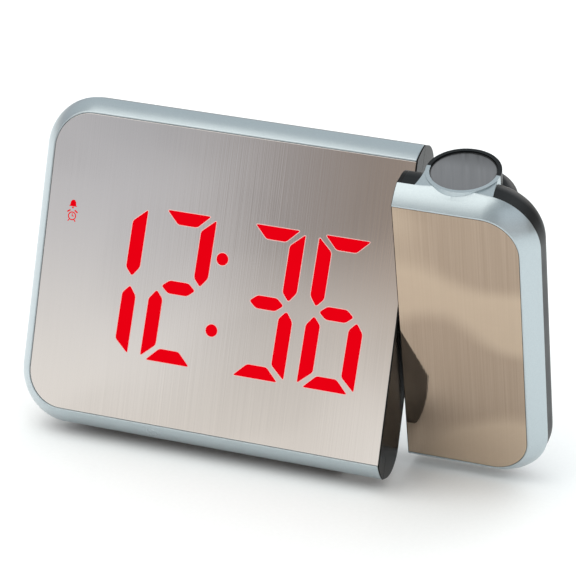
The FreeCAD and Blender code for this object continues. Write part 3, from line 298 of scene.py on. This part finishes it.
# %% Moulded grain
def moulded(name, colour, roughness, grain_size, depth, **sockets):
    """Plastic from a mould with an even grain, and a gloss that drifts over 12 mm."""
    made, tree, shader, mm = new_material(name, colour, 0.0, roughness, **sockets)
    drift = waver(tree, mm, (12, 12, 12), 2.0)
    vary(tree, shader, drift, gloss=(roughness - 0.06, roughness + 0.08))
    vary(tree, shader, waver(tree, mm, (grain_size,) * 3, 2.0), bump=(depth, 0.03))
    return made


charcoal_abs = moulded(
    "charcoal_moulded_abs", "#0C1012", 0.38, 0.45, 0.35, Specular_IOR_Level=0.2
)
polished_abs = moulded(
    "polished_black_abs", "#100F0E", 0.22, 2.5, 0.03, Specular_IOR_Level=0.16
)
key_abs = moulded("satin_grey_abs", "#33383B", 0.42, 0.4, 0.25)
black_acetal = moulded("black_turned_acetal", "#18191A", 0.34, 0.4, 0.1)
door_abs = moulded("charcoal_door_abs", "#0F1315", 0.42, 0.5, 0.4)
tray_abs = moulded("black_moulded_abs", "#17181A", 0.5, 0.5, 0.3)
foot_rubber = moulded("moulded_rubber", "#151515", 0.82, 0.3, 0.5)
bush_acetal = moulded("natural_acetal", "#D9D5CA", 0.36, 0.6, 0.1)
board_mask = moulded("green_solder_mask", "#0F4A2C", 0.32, 1.2, 0.1, Coat_Weight=0.4)
display_black = moulded("black_light_guide_block", "#0C0C0C", 0.6, 0.6, 0.2)
cell_wrap = moulded("printed_cell_wrap", "#2B3A4A", 0.3, 3.0, 0.02, Coat_Weight=0.5)
speaker_paper = moulded("pressed_paper_cone", "#1A1A1B", 0.85, 0.6, 0.7)
print("materials so far", len(bpy.data.materials))

# %% [markdown]
# ## Metals
#
# Screws and shaft are zinc-plated steel, contacts and the USB shell are nickel plate. Plating
# copies the fine lines that the tools left on the metal below, so one pattern of thin lines
# carries both the gloss and the relief.


# %% Metals
def plated(name, colour, roughness, spacing):
    """Plated metal with the faint lines of its tools."""
    made, tree, shader, mm = new_material(name, colour, 1.0, roughness)
    lines = waver(tree, mm, (4, spacing, spacing), 2.0)
    vary(tree, shader, lines, gloss=(roughness - 0.08, roughness + 0.1), bump=(0.1, 0.02))
    return made


zinc_steel = plated("zinc_plated_steel", "#B4B7B8", 0.3, 0.2)
nickel = plated("nickel_plate", "#CFC8BC", 0.22, 0.3)
print("metals ready")

# %% [markdown]
# ## Smoked window and lens
#
# The window over the barrel is smoked acrylic, its tint varied a little by a streaky noise. Seen
# at a slant, its far side looks down on the barrel's black wall, so a painted shade and
# reflection of that wall is mixed in: along the world's Y the tint turns to near black there,
# and the streaks make that edge uneven. The lens itself is clear acrylic with its real index
# of 1.49.

# %% Smoked window and lens
BARREL_X = 20.8
BARREL_Y = 17.4
WINDOW_TOP = 58.88
# Where the painted shade of the barrel wall begins and where it is full, in mm past the window's
# centre along Y.
PAINTED_SHADE_FROM = 1.0
PAINTED_SHADE_TO = 11.0

smoked_acrylic_painted_shade, tree, shader, mm = new_material(
    "smoked_acrylic_painted_shade", "#5C5C5D", 0.0, 0.22, Coat_Weight=0.3, Coat_Roughness=0.08
)
window_y = (PROJECTOR @ (Vector((BARREL_X, BARREL_Y, WINDOW_TOP)) * MM)).y / MM
# The streaky noise is a random tone over the window and, where the painted shade falls, a painted
# reflection of the barrel wall.
streak_tone_and_painted_reflection = waver(tree, mm, (1.4, 40, 40), 2.0, turn=20.0)
tone = vary(tree, shader, streak_tone_and_painted_reflection, tints=("#58585A", "#6E6E70"))
across = add_node(tree, "ShaderNodeSeparateXYZ", {"Vector": mm})
inputs = {
    "Value": across.outputs["Y"],
    "From Min": window_y + PAINTED_SHADE_FROM,
    "From Max": window_y + PAINTED_SHADE_TO,
}
# Painted shade: towards the far side the tint is mixed to near black, broken up by the streaks.
shade = add_node(tree, "ShaderNodeMapRange", inputs, interpolation_type="SMOOTHSTEP")
inputs = {0: shade.outputs["Result"], 1: streak_tone_and_painted_reflection}
dark = add_node(tree, "ShaderNodeMath", inputs, operation="MULTIPLY")
inputs = {0: dark.outputs["Value"], 6: tone, 7: linear("#0E0E0F")}
painted_shade_mix = add_node(tree, "ShaderNodeMix", inputs, data_type="RGBA")
tree.links.new(painted_shade_mix.outputs[2], shader.inputs["Base Color"])

clear_lens, tree, shader, mm = new_material(
    "clear_moulded_acrylic", "#DCE6EA", 0.0, 0.04, IOR=1.49, Transmission_Weight=0.9
)
vary(tree, shader, waver(tree, mm, (5, 5, 5)), gloss=(0.02, 0.08))
print("materials", len(bpy.data.materials))

# %% [markdown]
# ## Shapes drawn as outlines
#
# Nearly every piece here starts as a flat outline: the slab's U shape with its square end and
# two round corners, a digit's bar, a circle. One function makes the U, with the direction
# that points outward at each of its points, one rounds the corners of any outline, and one
# moves an outline outward.


# %% Outlines
def arc_points(middle, radius, start, end, steps):
    """Points along an arc, angles in degrees."""
    turn = [math.radians(start + (end - start) * i / steps) for i in range(steps + 1)]
    return [(middle[0] + radius * math.cos(a), middle[1] + radius * math.sin(a)) for a in turn]


def u_outline(end, far, half, radius, steps=28):
    """Points and outward directions from the low square corner round to the high one."""
    side = 1 if far > end else -1
    inner = far - side * radius
    path = [(end, -half, 0, -1)]
    for low in (True, False):
        first = -90 if low else 0
        for i in range(steps + 1):
            a = math.radians(first + 90 * i / steps)
            across, up = side * math.cos(a), math.sin(a)
            level = radius - half if low else half - radius
            path.append((inner + radius * across, level + radius * up, across, up))
    return path + [(end, half, 0, 1)]


print("points in a U", len(u_outline(0, 10, 5, 2)))


# %% Rounding and growing
def rounded(outline, radius, steps=4):
    """The outline with each corner replaced by a short curve."""
    made = []
    count = len(outline)
    for i, corner in enumerate(outline):
        here = Vector(corner)
        before = Vector(outline[i - 1]) - here
        after = Vector(outline[(i + 1) % count]) - here
        start = here + before.normalized() * min(radius, before.length * 0.45)
        end = here + after.normalized() * min(radius, after.length * 0.45)
        for step in range(steps + 1):
            t = step / steps
            made.append(tuple(start * (1 - t) ** 2 + here * 2 * t * (1 - t) + end * t * t))
    return made


def grown(outline, distance):
    """The outline moved outward by a distance."""
    following = outline[1:] + outline[:1]
    area = sum(a[0] * b[1] - b[0] * a[1] for a, b in zip(outline, following))
    sign = 1 if area > 0 else -1
    made = []
    for i, corner in enumerate(outline):
        here = Vector(corner)
        before = (here - Vector(outline[i - 1])).normalized()
        after = (Vector(following[i]) - here).normalized()
        out_before = Vector((before.y, -before.x)) * sign
        out_after = Vector((after.y, -after.x)) * sign
        out = (out_before + out_after).normalized()
        made.append(tuple(here + out * distance / max(out.dot(out_before), 0.35)))
    return made


square = [(0, 0), (1, 0), (1, 1), (0, 1)]
print("rounded square", len(rounded(square, 0.2)), "points, grown corner", grown(square, 1)[0])

# %% [markdown]
# ## Pieces
#
# A piece is drawn upright in its unit and its points are then put where the unit stands, as
# the modelled solids are, so one pattern scale in millimetres fits both. Every real edge is
# broken a little, and that thin bevel is what catches the light. All shapes come from one
# surface through rows of points: a plate has two rows, and a swept frame has one per station.


# %% Making a piece
def piece(name, parts, place, body, material, stands_for=(), bevel=0.0, sharp=30.0):
    """One object from lists of points in millimetres and faces."""
    made = bmesh.new()
    for points, faces in parts:
        verts = [made.verts.new(place @ (Vector(point) * MM)) for point in points]
        for face in faces:
            made.faces.new([verts[i] for i in face])
    bmesh.ops.recalc_face_normals(made, faces=made.faces)
    mesh = bpy.data.meshes.new(name)
    made.to_mesh(mesh)
    made.free()
    mesh.shade_smooth()
    mesh.set_sharp_from_angle(angle=math.radians(sharp))
    mesh.materials.append(material)
    thing = bpy.data.objects.new(name, mesh)
    bpy.context.scene.collection.objects.link(thing)
    if bevel:
        edge = thing.modifiers.new("broken_edges", "BEVEL")
        edge.width = bevel * MM
        edge.segments = 3
        edge.limit_method = "ANGLE"
        edge.angle_limit = math.radians(sharp)
        edge.harden_normals = True
    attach(thing, body)
    if stands_for:
        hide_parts(*stands_for)
    print(name, len(mesh.polygons), "faces")


# %% Surfaces through rows
def skin(rows, caps=True):
    """A surface through rows of points, each row a loop, with its two ends closed."""
    wide = len(rows[0])
    points = [point for row in rows for point in row]
    faces = []
    for r in range(len(rows) - 1):
        for c in range(wide):
            d = (c + 1) % wide
            faces.append((r * wide + c, r * wide + d, (r + 1) * wide + d, (r + 1) * wide + c))
    if caps:
        faces.append(tuple(range(wide)))
        faces.append(tuple(range((len(rows) - 1) * wide, len(rows) * wide)))
    return points, faces


def plate(outline, front, behind):
    """A flat plate between two depths, from an outline across the face."""
    return skin([[(x, y, z) for x, z in outline] for y in (front, behind)])


def sweep(path, profile):
    """A section of (outward, depth) pairs, given for each x, carried along a path."""
    rows = []
    for x, z, nx, nz in path:
        rows.append([(x + nx * out, depth, z + nz * out) for out, depth in profile(x, nz)])
    return skin(rows)


print("faces of a square plate", len(plate(square, 0, 1)[1]))

# %% [markdown]
# ## The flared frame
#
# In section the frame is a narrow rim beside the glass, a slope that swells out by 5 mm over
# 6.6 mm of depth, and a ledge behind the glass. It is one section carried round the U, so it
# is made as one sweep, with enough points on the slope for a soft highlight. At the square
# end a flat bar closes the frame behind the glass, and a thin polished plate covers the whole
# end, so that nothing looks into the section from the side.

# %% Section of the frame
HALF = 53.5
CORNER = 13.8
FLARE = 5.0
SWELL = 0.5
DEPTH = 6.6
RIM = 0.5
GLASS = 2.0
LEDGE = 3.0
SLOPE_STEPS = 14


def slope(depth):
    """How far the slope stands out at a depth."""
    t = depth / DEPTH
    return FLARE * t + 4 * SWELL * t * (1 - t)


def slope_line(depth):
    """Points down the slope from the face to a depth."""
    depths = [depth * i / SLOPE_STEPS for i in range(SLOPE_STEPS + 1)]
    return [(slope(value), value) for value in depths]


def section(depth):
    """The frame's section, cut off at a depth."""
    inside = -RIM - LEDGE
    return [(-RIM, 0.0)] + slope_line(depth) + [(inside, depth), (inside, GLASS), (-RIM, GLASS)]


print("section points", len(section(DEPTH)))

# %% Square ends
HAIR = 0.01
BAR_BACK = 4.7
BAR_SET_IN = 0.016
BAR_OVERLAP = 0.3


def end_bar(end, width):
    """The flat bar behind the glass that closes the frame at its square end."""
    side = 1 if width > 0 else -1
    low, high = sorted((end + side * BAR_SET_IN, end + width))
    top = HALF - RIM - LEDGE + BAR_OVERLAP
    return plate([(low, -top), (high, -top), (high, top), (low, top)], GLASS + HAIR, BAR_BACK)


def end_trim(end, thickness):
    """A thin polished plate over the whole square end of the frame."""
    line = [(depth, HALF + out) for out, depth in slope_line(DEPTH)]
    outline = line + [(depth, -high) for depth, high in reversed(line)]
    return skin([[(x, depth, z) for depth, z in outline] for x in (end, end + thickness)])


print("bar faces", len(end_bar(0, 8.0)[1]), "trim faces", len(end_trim(0, 0.5)[1]))

# %% Main frame
MAIN_FAR = -134.5
BAR_WIDTH = 8.0
TRIM = 0.5

main_path = u_outline(-TRIM, MAIN_FAR, HALF, CORNER)
piece(
    "silver_frame",
    [sweep(main_path, lambda x, up: section(DEPTH)), end_bar(-TRIM, -BAR_WIDTH)],
    CLOCK, "clock", silver_paint, ["main_bezel"], bevel=0.22,
)
piece(
    "end_trim", [end_trim(-HAIR, HAIR - TRIM)],
    CLOCK, "clock", polished_abs, bevel=0.12,
)

# %% [markdown]
# ## Mirror plates
#
# Each mirror is a plate that sits in its frame with a hairline gap all round, its edge broken
# by 0.15 mm so that a thin bright line runs beside the dark gap.

# %% Mirror plates
GAP = 0.16


def mirror_plate(end, far):
    """The outline of a mirror, a gap smaller than its seat."""
    path = u_outline(end, far, HALF, CORNER)
    return [(x - nx * (RIM + GAP), z - nz * (RIM + GAP)) for x, z, nx, nz in path]


piece(
    "mirror_plate", [plate(mirror_plate(-TRIM, MAIN_FAR), 0.0, GLASS)],
    CLOCK, "clock", mirror_silver, ["main_mirror"], bevel=0.15,
)

# %% [markdown]
# ## Digits
#
# The display shows plain seven-bar numbers. Every bar is a short outline with mitred tips,
# listed once for a digit's cell and mirrored for the others, then leaned by two degrees and
# rounded. A slightly larger pale plate sits just behind each red one and shows as the glow
# round it.

# %% Bars of a digit
WIDE = 20.9
TALL = 53.6
ACROSS = 5.2
UP = 4.6
SPLIT = 1.1
POINTED = 1.2


def bar_outlines():
    """The seven bars in a cell whose lower left corner is the origin."""
    middle = TALL / 2
    tip = UP / 2
    inner = ACROSS - SPLIT
    point = tip * POINTED
    high = [
        (2 * SPLIT, TALL),
        (WIDE - 2 * SPLIT, TALL),
        (WIDE - 2 * SPLIT - UP, TALL - UP),
        (2 * SPLIT + UP, TALL - UP),
    ]
    side = [
        (WIDE, TALL - SPLIT),
        (WIDE - ACROSS, TALL - SPLIT - UP),
        (WIDE - ACROSS, middle + UP),
        (WIDE - ACROSS / 2, middle + SPLIT / 2 + tip / 2),
        (WIDE, middle + UP + SPLIT / 2),
    ]
    cross = [
        (inner, middle),
        (inner + point, middle + tip),
        (WIDE - inner - point, middle + tip),
        (WIDE - inner, middle),
        (WIDE - inner - point, middle - tip),
        (inner + point, middle - tip),
    ]
    return {
        "top": high,
        "upper_right": side,
        "lower_right": [(x, TALL - z) for x, z in side],
        "bottom": [(x, TALL - z) for x, z in high],
        "lower_left": [(WIDE - x, TALL - z) for x, z in side],
        "upper_left": [(WIDE - x, z) for x, z in side],
        "middle": cross,
    }


bars = bar_outlines()
print("bars in a cell", len(bars))

# %% Digits on the face
PITCH = 25.9
MARGIN = 11.7
COLON = 7.3
COLON_RISE = 12.7
DOT_RADIUS = 2.2
DROP = 3.5
SLANT = math.tan(math.radians(2.0))
BAR_ROUNDING = 0.9
SHOWN = (
    ("upper_right", "lower_right"),
    ("top", "upper_right", "middle", "lower_left", "bottom"),
    ("top", "upper_right", "middle", "lower_right", "bottom"),
    ("top", "upper_left", "middle", "lower_left", "lower_right", "bottom"),
)

lit = []
for place, names in enumerate(SHOWN):
    left = -MARGIN - WIDE - (len(SHOWN) - 1 - place) * PITCH - (COLON if place < 2 else 0)
    for name in names:
        leaned = [(left + x + SLANT * (z - TALL / 2), z - DROP - TALL / 2) for x, z in bars[name]]
        lit.append(rounded(leaned, BAR_ROUNDING))
colon_x = -MARGIN - 2 * PITCH - COLON / 2 + SPLIT / 2
for up in (-COLON_RISE, COLON_RISE):
    lit.append(arc_points((colon_x + SLANT * up, up - DROP), DOT_RADIUS, 0, 360, 32)[:-1])
print("lit shapes", len(lit))

# %% Red bars and their glow
LIT_FRONT = -0.03
LIT_BACK = 0.6
GLOW_FRONT = -0.015
GLOW_BACK = 0.5
GLOW_WIDTH = 0.24

piece(
    "lit_bars", [plate(outline, LIT_FRONT, LIT_BACK) for outline in lit],
    CLOCK, "clock", red_light, ["digit_segments"],
)
piece(
    "bar_glow", [plate(grown(outline, GLOW_WIDTH), GLOW_FRONT, GLOW_BACK) for outline in lit],
    CLOCK, "clock", pale_light,
)

# %% [markdown]
# ## Alarm sign
#
# When the alarm is set, a small sign lights at the left. It is drawn here as a bell over a
# round alarm clock with two bells, in plain strokes, with no letters. The dial's ring is a
# loop of short plates, because a plate's outline can't have a hole.

# %% Alarm sign
SIGN_X = -124.5
SIGN_BACK = 0.2
SIGN_SIZE = 1.2
BELL_Z = 20.3
DIAL_Z = 15.8
DIAL_OUTER = 1.3
DIAL_INNER = 0.98
DIAL_STEPS = 28


def stroke(start, end, width):
    """A short bar between two points."""
    a, b = Vector(start), Vector(end)
    aside = (b - a).orthogonal().normalized() * width / 2
    return [tuple(a + aside), tuple(b + aside), tuple(b - aside), tuple(a - aside)]


def at(points, z):
    """Points of the sign, put at a height on the face."""
    return [(SIGN_X + px * SIGN_SIZE, z + pz * SIGN_SIZE) for px, pz in points]


half_bell = [(0.45, 0.95), (0.85, 0.4), (0.95, -0.5), (1.3, -0.9)]
bell = [(-x, z) for x, z in reversed(half_bell)] + [(0, 1.1)] + half_bell
clapper = arc_points((0, -1.25), 0.28, 0, 360, 10)[:-1]
dial = []
for i in range(DIAL_STEPS):
    a, b = (math.radians(360 * k / DIAL_STEPS) for k in (i, i + 1))
    corners = ((DIAL_OUTER, a), (DIAL_OUTER, b), (DIAL_INNER, b), (DIAL_INNER, a))
    dial.append([(r * math.cos(t), r * math.sin(t)) for r, t in corners])
dial += [stroke((0, -0.1), (0, 0.75), 0.24), stroke((-0.1, 0), (0.6, 0), 0.24)]
for side in (-1, 1):
    dial.append(stroke((side * 0.7, 1.75), (side * 1.65, 1.1), 0.42))
    dial.append(stroke((side * 0.8, -1.1), (side * 1.2, -1.6), 0.3))
sign = [at(part, BELL_Z) for part in (bell, clapper)] + [at(part, DIAL_Z) for part in dial]
piece(
    "alarm_sign", [plate(part, LIT_FRONT, SIGN_BACK) for part in sign],
    CLOCK, "clock", red_light,
)

# %% [markdown]
# ## Projector frame with its collar
#
# The hard part of this object. Seen from above, the barrel's round collar bites into the
# frame's top edge, and the frame climbs to the collar's rim in two horns, one at each side.
# On the mould this is one skin. Here it is four closed forms that meet inside each other: the
# swept frame, with its section cut short where it would run into the bore, a half ring for
# the collar, and the two horns. A horn is rows of points from the collar's front back to its
# widest place. Its top starts on the frame's own slope, leaves it without a crease and rises
# to the rim, while its outer side draws in.

# %% Measures of the projector unit
END = 0.8
FAR = 45.5
COLLAR = 12.9
BORE = 11.5
COLLAR_TOP = 59.4
COLLAR_FOOT = 50.5
RIDGE = HALF + FLARE
WALL_MIDDLE = 12.2


def wall_line(x):
    """The depth at which the middle of the collar's wall stands, at one place across."""
    return BARREL_Y - math.sqrt(max(WALL_MIDDLE**2 - (x - BARREL_X) ** 2, 0.0))


def ridge_at(x, depth):
    """The height of the frame's own skin, which turns down past the round corner's start."""
    radius = CORNER + slope(min(depth, DEPTH))
    past = max(0.0, x - (FAR - CORNER))
    return HALF - CORNER + math.sqrt(radius**2 - past**2)


print("collar stands above the ridge by", round(COLLAR_TOP - RIDGE, 2), "mm")

# %% Horns beside the collar
HORN_START = 3.4
HORN_FOOT = 51.5
ROOT_HALF = 13.7
CREST_HALF = 12.7
HORN_COLUMNS = 10
HORN_STEPS = 26
LIFT = 0.45
LIFT_RATE = 4
SINK = 0.02
EARLY_RISE = 0.5


def horn(side):
    """Loops down one horn: its top skin from the collar out to its edge, and its underside."""
    rows = []
    for step in range(HORN_STEPS + 1):
        climb = step / HORN_STEPS
        depth = HORN_START + (BARREL_Y - HORN_START) * climb
        inner = math.sqrt(max(WALL_MIDDLE**2 - (BARREL_Y - depth) ** 2, 0.0))
        t = max(0.0, (depth - DEPTH) / (BARREL_Y - DEPTH))
        outer = ROOT_HALF + (CREST_HALF - ROOT_HALF) * (1 - (1 - t) ** 2)
        over = []
        for i in range(HORN_COLUMNS + 1):
            u = i / HORN_COLUMNS
            x = BARREL_X + side * (inner + (outer - inner) * u)
            near = (1 - u) ** 2
            if depth < DEPTH:
                high = ridge_at(x, depth) + LIFT * near * min(1.0, climb * LIFT_RATE) - SINK * u
            else:
                high = ridge_at(x, depth) * (1 - t) + RIDGE * t
                high += (COLLAR_TOP - RIDGE) * (t * t + near * (1 - t * t) * EARLY_RISE)
            over.append((x, depth, high))
        under = [(x, y, HORN_FOOT) for x, y, z in reversed(over)]
        rows.append(over + under)
    return skin(rows)


print("faces of a horn", len(horn(1)[1]))


# %% Collar and projector frame
def half_ring(outer, inner, low, high, start, end, steps=48):
    """Part of a ring round the barrel's axis."""
    rows = []
    for i in range(steps + 1):
        a = math.radians(start + (end - start) * i / steps)
        corners = ((outer, low), (outer, high), (inner, high), (inner, low))
        rows.append([(BARREL_X + r * math.cos(a), BARREL_Y + r * math.sin(a), z) for r, z in corners])
    return skin(rows)


def projector_section(x, up):
    """The frame's section, cut short along the top edge where the collar stands."""
    return section(min(DEPTH, wall_line(x)) if up == 1 else DEPTH)


THIN_TRIM = 0.15
STATION = 0.5
STATIONS_EACH_SIDE = 13

projector_path = u_outline(END + THIN_TRIM, FAR, HALF, CORNER)
stations = range(STATIONS_EACH_SIDE, -STATIONS_EACH_SIDE - 1, -1)
projector_path[-1:-1] = [(BARREL_X + STATION * i, HALF, 0, 1) for i in stations]
piece(
    "projector_frame",
    [
        sweep(projector_path, projector_section),
        end_bar(END + THIN_TRIM, BAR_WIDTH),
        horn(-1),
        horn(1),
        half_ring(COLLAR, BORE, COLLAR_FOOT, COLLAR_TOP, 180, 360),
    ],
    PROJECTOR, "projector", silver_paint, ["projector_bezel"], bevel=0.18,
)
piece(
    "projector_end_trim", [end_trim(END + HAIR, THIN_TRIM - HAIR)],
    PROJECTOR, "projector", polished_abs, bevel=0.04,
)
piece(
    "projector_mirror_plate", [plate(mirror_plate(END + THIN_TRIM, FAR), 0.0, GLASS)],
    PROJECTOR, "projector", mirror_painted_warm_reflection, ["projector_mirror"], bevel=0.15,
)

# %% [markdown]
# ## Barrel and window
#
# The barrel turns in the collar to focus. It is a lathe part: one section turned about the
# barrel's axis, with a thin lip, a seat for the window and a throat over the lens. The window
# is a disc with a very slight dome, which keeps its reflection from looking dead flat.


# %% Turned pieces
def turned(profile, steps=96):
    """A closed section of (radius, height) pairs turned about the barrel's axis."""
    rows = []
    for i in range(steps):
        a = 2 * math.pi * i / steps
        rows.append([(BARREL_X + r * math.cos(a), BARREL_Y + r * math.sin(a), z) for r, z in profile])
    points, faces = skin(rows, caps=False)
    wide = len(profile)
    last = (steps - 1) * wide
    for c in range(wide):
        d = (c + 1) % wide
        faces.append((last + c, last + d, d, c))
    return points, faces


def disc(radius, low, high, crown, rings=6, steps=96):
    """A disc with a slightly domed top."""
    levels = [(radius, low)]
    for k in range(rings):
        share = 1 - k / rings
        levels.append((radius * share, high - crown * share**2))
    turns = [2 * math.pi * i / steps for i in range(steps)]
    points = []
    for r, z in levels:
        points += [(BARREL_X + r * math.cos(a), BARREL_Y + r * math.sin(a), z) for a in turns]
    points.append((BARREL_X, BARREL_Y, high))
    faces = [tuple(range(steps))]
    for k in range(len(levels) - 1):
        for i in range(steps):
            j = (i + 1) % steps
            faces.append((k * steps + i, k * steps + j, (k + 1) * steps + j, (k + 1) * steps + i))
    base = (len(levels) - 1) * steps
    faces += [(base + i, base + (i + 1) % steps, len(points) - 1) for i in range(steps)]
    return points, faces


# %% Barrel and window
BARREL_RADIUS = 11.43
BARREL_INSIDE = 10.75
BARREL_LOW = 40.2
LIP_TOP = 58.95
LIP_INSIDE = 11.16
WINDOW_SEAT = 57.8
WINDOW_RADIUS = 11.13
WINDOW_CROWN = 0.12
THROAT = 8.6
LENS_TOP = 47.2

barrel_section = [
    (BARREL_RADIUS, BARREL_LOW),
    (BARREL_RADIUS, LIP_TOP - 0.1),
    (BARREL_RADIUS - 0.09, LIP_TOP),
    (LIP_INSIDE + 0.06, LIP_TOP),
    (LIP_INSIDE, LIP_TOP - 0.05),
    (LIP_INSIDE, WINDOW_SEAT),
    (THROAT, WINDOW_SEAT),
    (THROAT, LENS_TOP),
    (BARREL_INSIDE, LENS_TOP),
    (BARREL_INSIDE, BARREL_LOW),
]
piece(
    "focus_ring", [turned(barrel_section)],
    PROJECTOR, "focus", black_acetal, ["focus_barrel"],
)
piece(
    "window_disc", [disc(WINDOW_RADIUS, WINDOW_SEAT + 2 * HAIR, WINDOW_TOP, WINDOW_CROWN)],
    PROJECTOR, "focus", smoked_acrylic_painted_shade, ["lens_window"], bevel=0.12,
)

# %% [markdown]
# ## Finishes of the carried pieces
#
# The rest of the solids are right as they are modelled, and only need their real finish. The
# last lines list any solid that still shows without one, and the list has to be empty.

# %% Finishes
FINISHES = {
    charcoal_abs: ["main_rear_shell", "projector_rear_shell"],
    door_abs: ["battery_door"],
    polished_abs: ["main_end_cap", "projector_end_cap"],
    key_abs: ["snooze_bar", "key_set", "key_alarm", "key_down", "key_up", "key_projection"],
    tray_abs: ["battery_tray", "power_inlet", "light_box"],
    foot_rubber: ["foot_front_left", "foot_front_right", "foot_rear_left", "foot_rear_right"],
    board_mask: ["main_board", "key_board", "led_board"],
    display_black: ["display_module"],
    zinc_steel: ["case_screws", "projector_screws", "pivot_shaft", "shaft_nut"],
    nickel: ["battery_contacts", "usb_socket"],
    bush_acetal: ["pivot_bushing", "friction_washer"],
    cell_wrap: ["battery_lower", "battery_upper"],
    speaker_paper: ["speaker"],
    clear_lens: ["projection_lens"],
    smoked_acrylic_painted_shade: ["lcd_slide"],
}
finished = []
for finish, names in FINISHES.items():
    for name in names:
        nodes[name].data.materials.clear()
        nodes[name].data.materials.append(finish)
    finished += names
shown = [name for name, thing in nodes.items() if not thing.hide_render]
print("nodes without a finish", [name for name in shown if name not in finished])

# %% [markdown]
# ## Floor and lamps
#
# The floor is a plain pale sheet of paper. One large soft lamp stands above at the left, a
# weaker one at the right, and a smaller one behind draws the top edges.

# %% Floor
REACH = 6.0

floor_sheet, tree, shader, mm = new_material("pale_paper_floor", "#F4F3F1", 0.0, 0.75)
vary(tree, shader, waver(tree, mm, (1.5, 1.5, 1.5), 3.0), tints=("#F2F1EF", "#F8F7F5"))

mesh = bpy.data.meshes.new("floor")
corners = [(-REACH, -REACH, 0), (REACH, -REACH, 0), (REACH, REACH, 0), (-REACH, REACH, 0)]
mesh.from_pydata(corners, [], [(0, 1, 2, 3)])
mesh.materials.append(floor_sheet)
floor = bpy.data.objects.new("floor", mesh)
bpy.context.scene.collection.objects.link(floor)
print("floor", 2 * REACH, "m wide")

# %% Lamps
LAMP_TARGET = Vector((0, 0, 0.06))


def soft_lamp(name, place, size, power, colour):
    """A square lamp that looks at the clock."""
    data = bpy.data.lights.new(name, "AREA")
    data.size = size
    data.energy = power
    data.color = linear(colour)[:3]
    thing = bpy.data.objects.new(name, data)
    thing.location = place
    thing.rotation_euler = (LAMP_TARGET - Vector(place)).to_track_quat("-Z", "Y").to_euler()
    bpy.context.scene.collection.objects.link(thing)
    print(name, power, "W")


soft_lamp("key_lamp", (-0.7, -0.55, 1.45), 1.6, 11.0, "#FFFBF5")
soft_lamp("fill_lamp", (1.6, -1.1, 1.0), 2.0, 5.0, "#F5F8FF")
soft_lamp("back_lamp", (0.3, 1.5, 0.9), 1.0, 5.0, "#FFFFFF")

# %% [markdown]
# ## What the mirrors see
#
# A mirror shows the room, so the room matters as much as the lamps. The world is a room of
# soft tones, built up in steps that each fade one wall into the next along one direction:
# a pale band low down, cool at the left and warm at the right above it, shade far to the
# right, a grey ceiling and a bright skylight behind. A patchy noise makes the pale band and the cool
# and warm walls uneven.
# The same world also lights the floor, and matt surfaces get it about twice as strong as a
# mirror shows it, so the paper is white while the mirror stays mid grey.

# %% World
MATT_POWER = 2.15

world = bpy.data.worlds.new("studio")
bpy.context.scene.world = world
world.use_nodes = True
tree = world.node_tree
sky = tree.nodes["Background"]
look = add_node(tree, "ShaderNodeTexCoord").outputs["Generated"]
parts = add_node(tree, "ShaderNodeSeparateXYZ", {"Vector": look})
patch = add_node(tree, "ShaderNodeTexNoise", {"Vector": look, "Scale": 11.0, "Detail": 1.0})
inputs = {"Value": patch.outputs["Fac"], "From Min": 0.38, "From Max": 0.62}
patch = add_node(tree, "ShaderNodeMapRange", inputs, interpolation_type="SMOOTHSTEP")
walls = {
    "shade": linear("#8D8781"),
    "ceiling": linear("#A9AFB2"),
    "skylight": linear("#D3DADE"),
}
for name, dim, bright in (
    ("low", "#E8E4DF", "#F6F4F1"),
    ("cool", "#ADAFB5", "#CBCCD1"),
    ("warm", "#94877D", "#B5A89D"),
):
    inputs = {0: patch.outputs["Result"], 6: linear(dim), 7: linear(bright)}
    walls[name] = add_node(tree, "ShaderNodeMix", inputs, data_type="RGBA").outputs[2]
for name, axis, start, end, before, after in (
    ("side", "X", -0.38, -0.28, "cool", "warm"),
    ("front", "Z", 0.07, 0.15, "low", "side"),
    ("room", "X", 0.25, 0.8, "front", "shade"),
    ("roof", "Y", 0.1, 0.4, "ceiling", "skylight"),
    ("all", "Z", 0.2, 0.55, "room", "roof"),
):
    inputs = {"Value": parts.outputs[axis], "From Min": start, "From Max": end}
    share = add_node(tree, "ShaderNodeMapRange", inputs, interpolation_type="SMOOTHSTEP")
    inputs = {0: share.outputs["Result"], 6: walls[before], 7: walls[after]}
    walls[name] = add_node(tree, "ShaderNodeMix", inputs, data_type="RGBA").outputs[2]
tree.links.new(walls["all"], sky.inputs["Color"])
ray = add_node(tree, "ShaderNodeLightPath")
inputs = {"Value": ray.outputs["Is Diffuse Ray"], "To Min": 1.0, "To Max": MATT_POWER}
power = add_node(tree, "ShaderNodeMapRange", inputs)
tree.links.new(power.outputs["Result"], sky.inputs["Strength"])
print("walls of the room", sorted(walls))

# %% [markdown]
# ## View of the colours
#
# The default view transform compresses bright, strong colours, which turns the lit red to
# salmon and the white floor to grey. The standard one leaves both as they are.

# %% View of the colours
bpy.context.scene.view_settings.view_transform = "Standard"
print("view", bpy.context.scene.view_settings.view_transform)
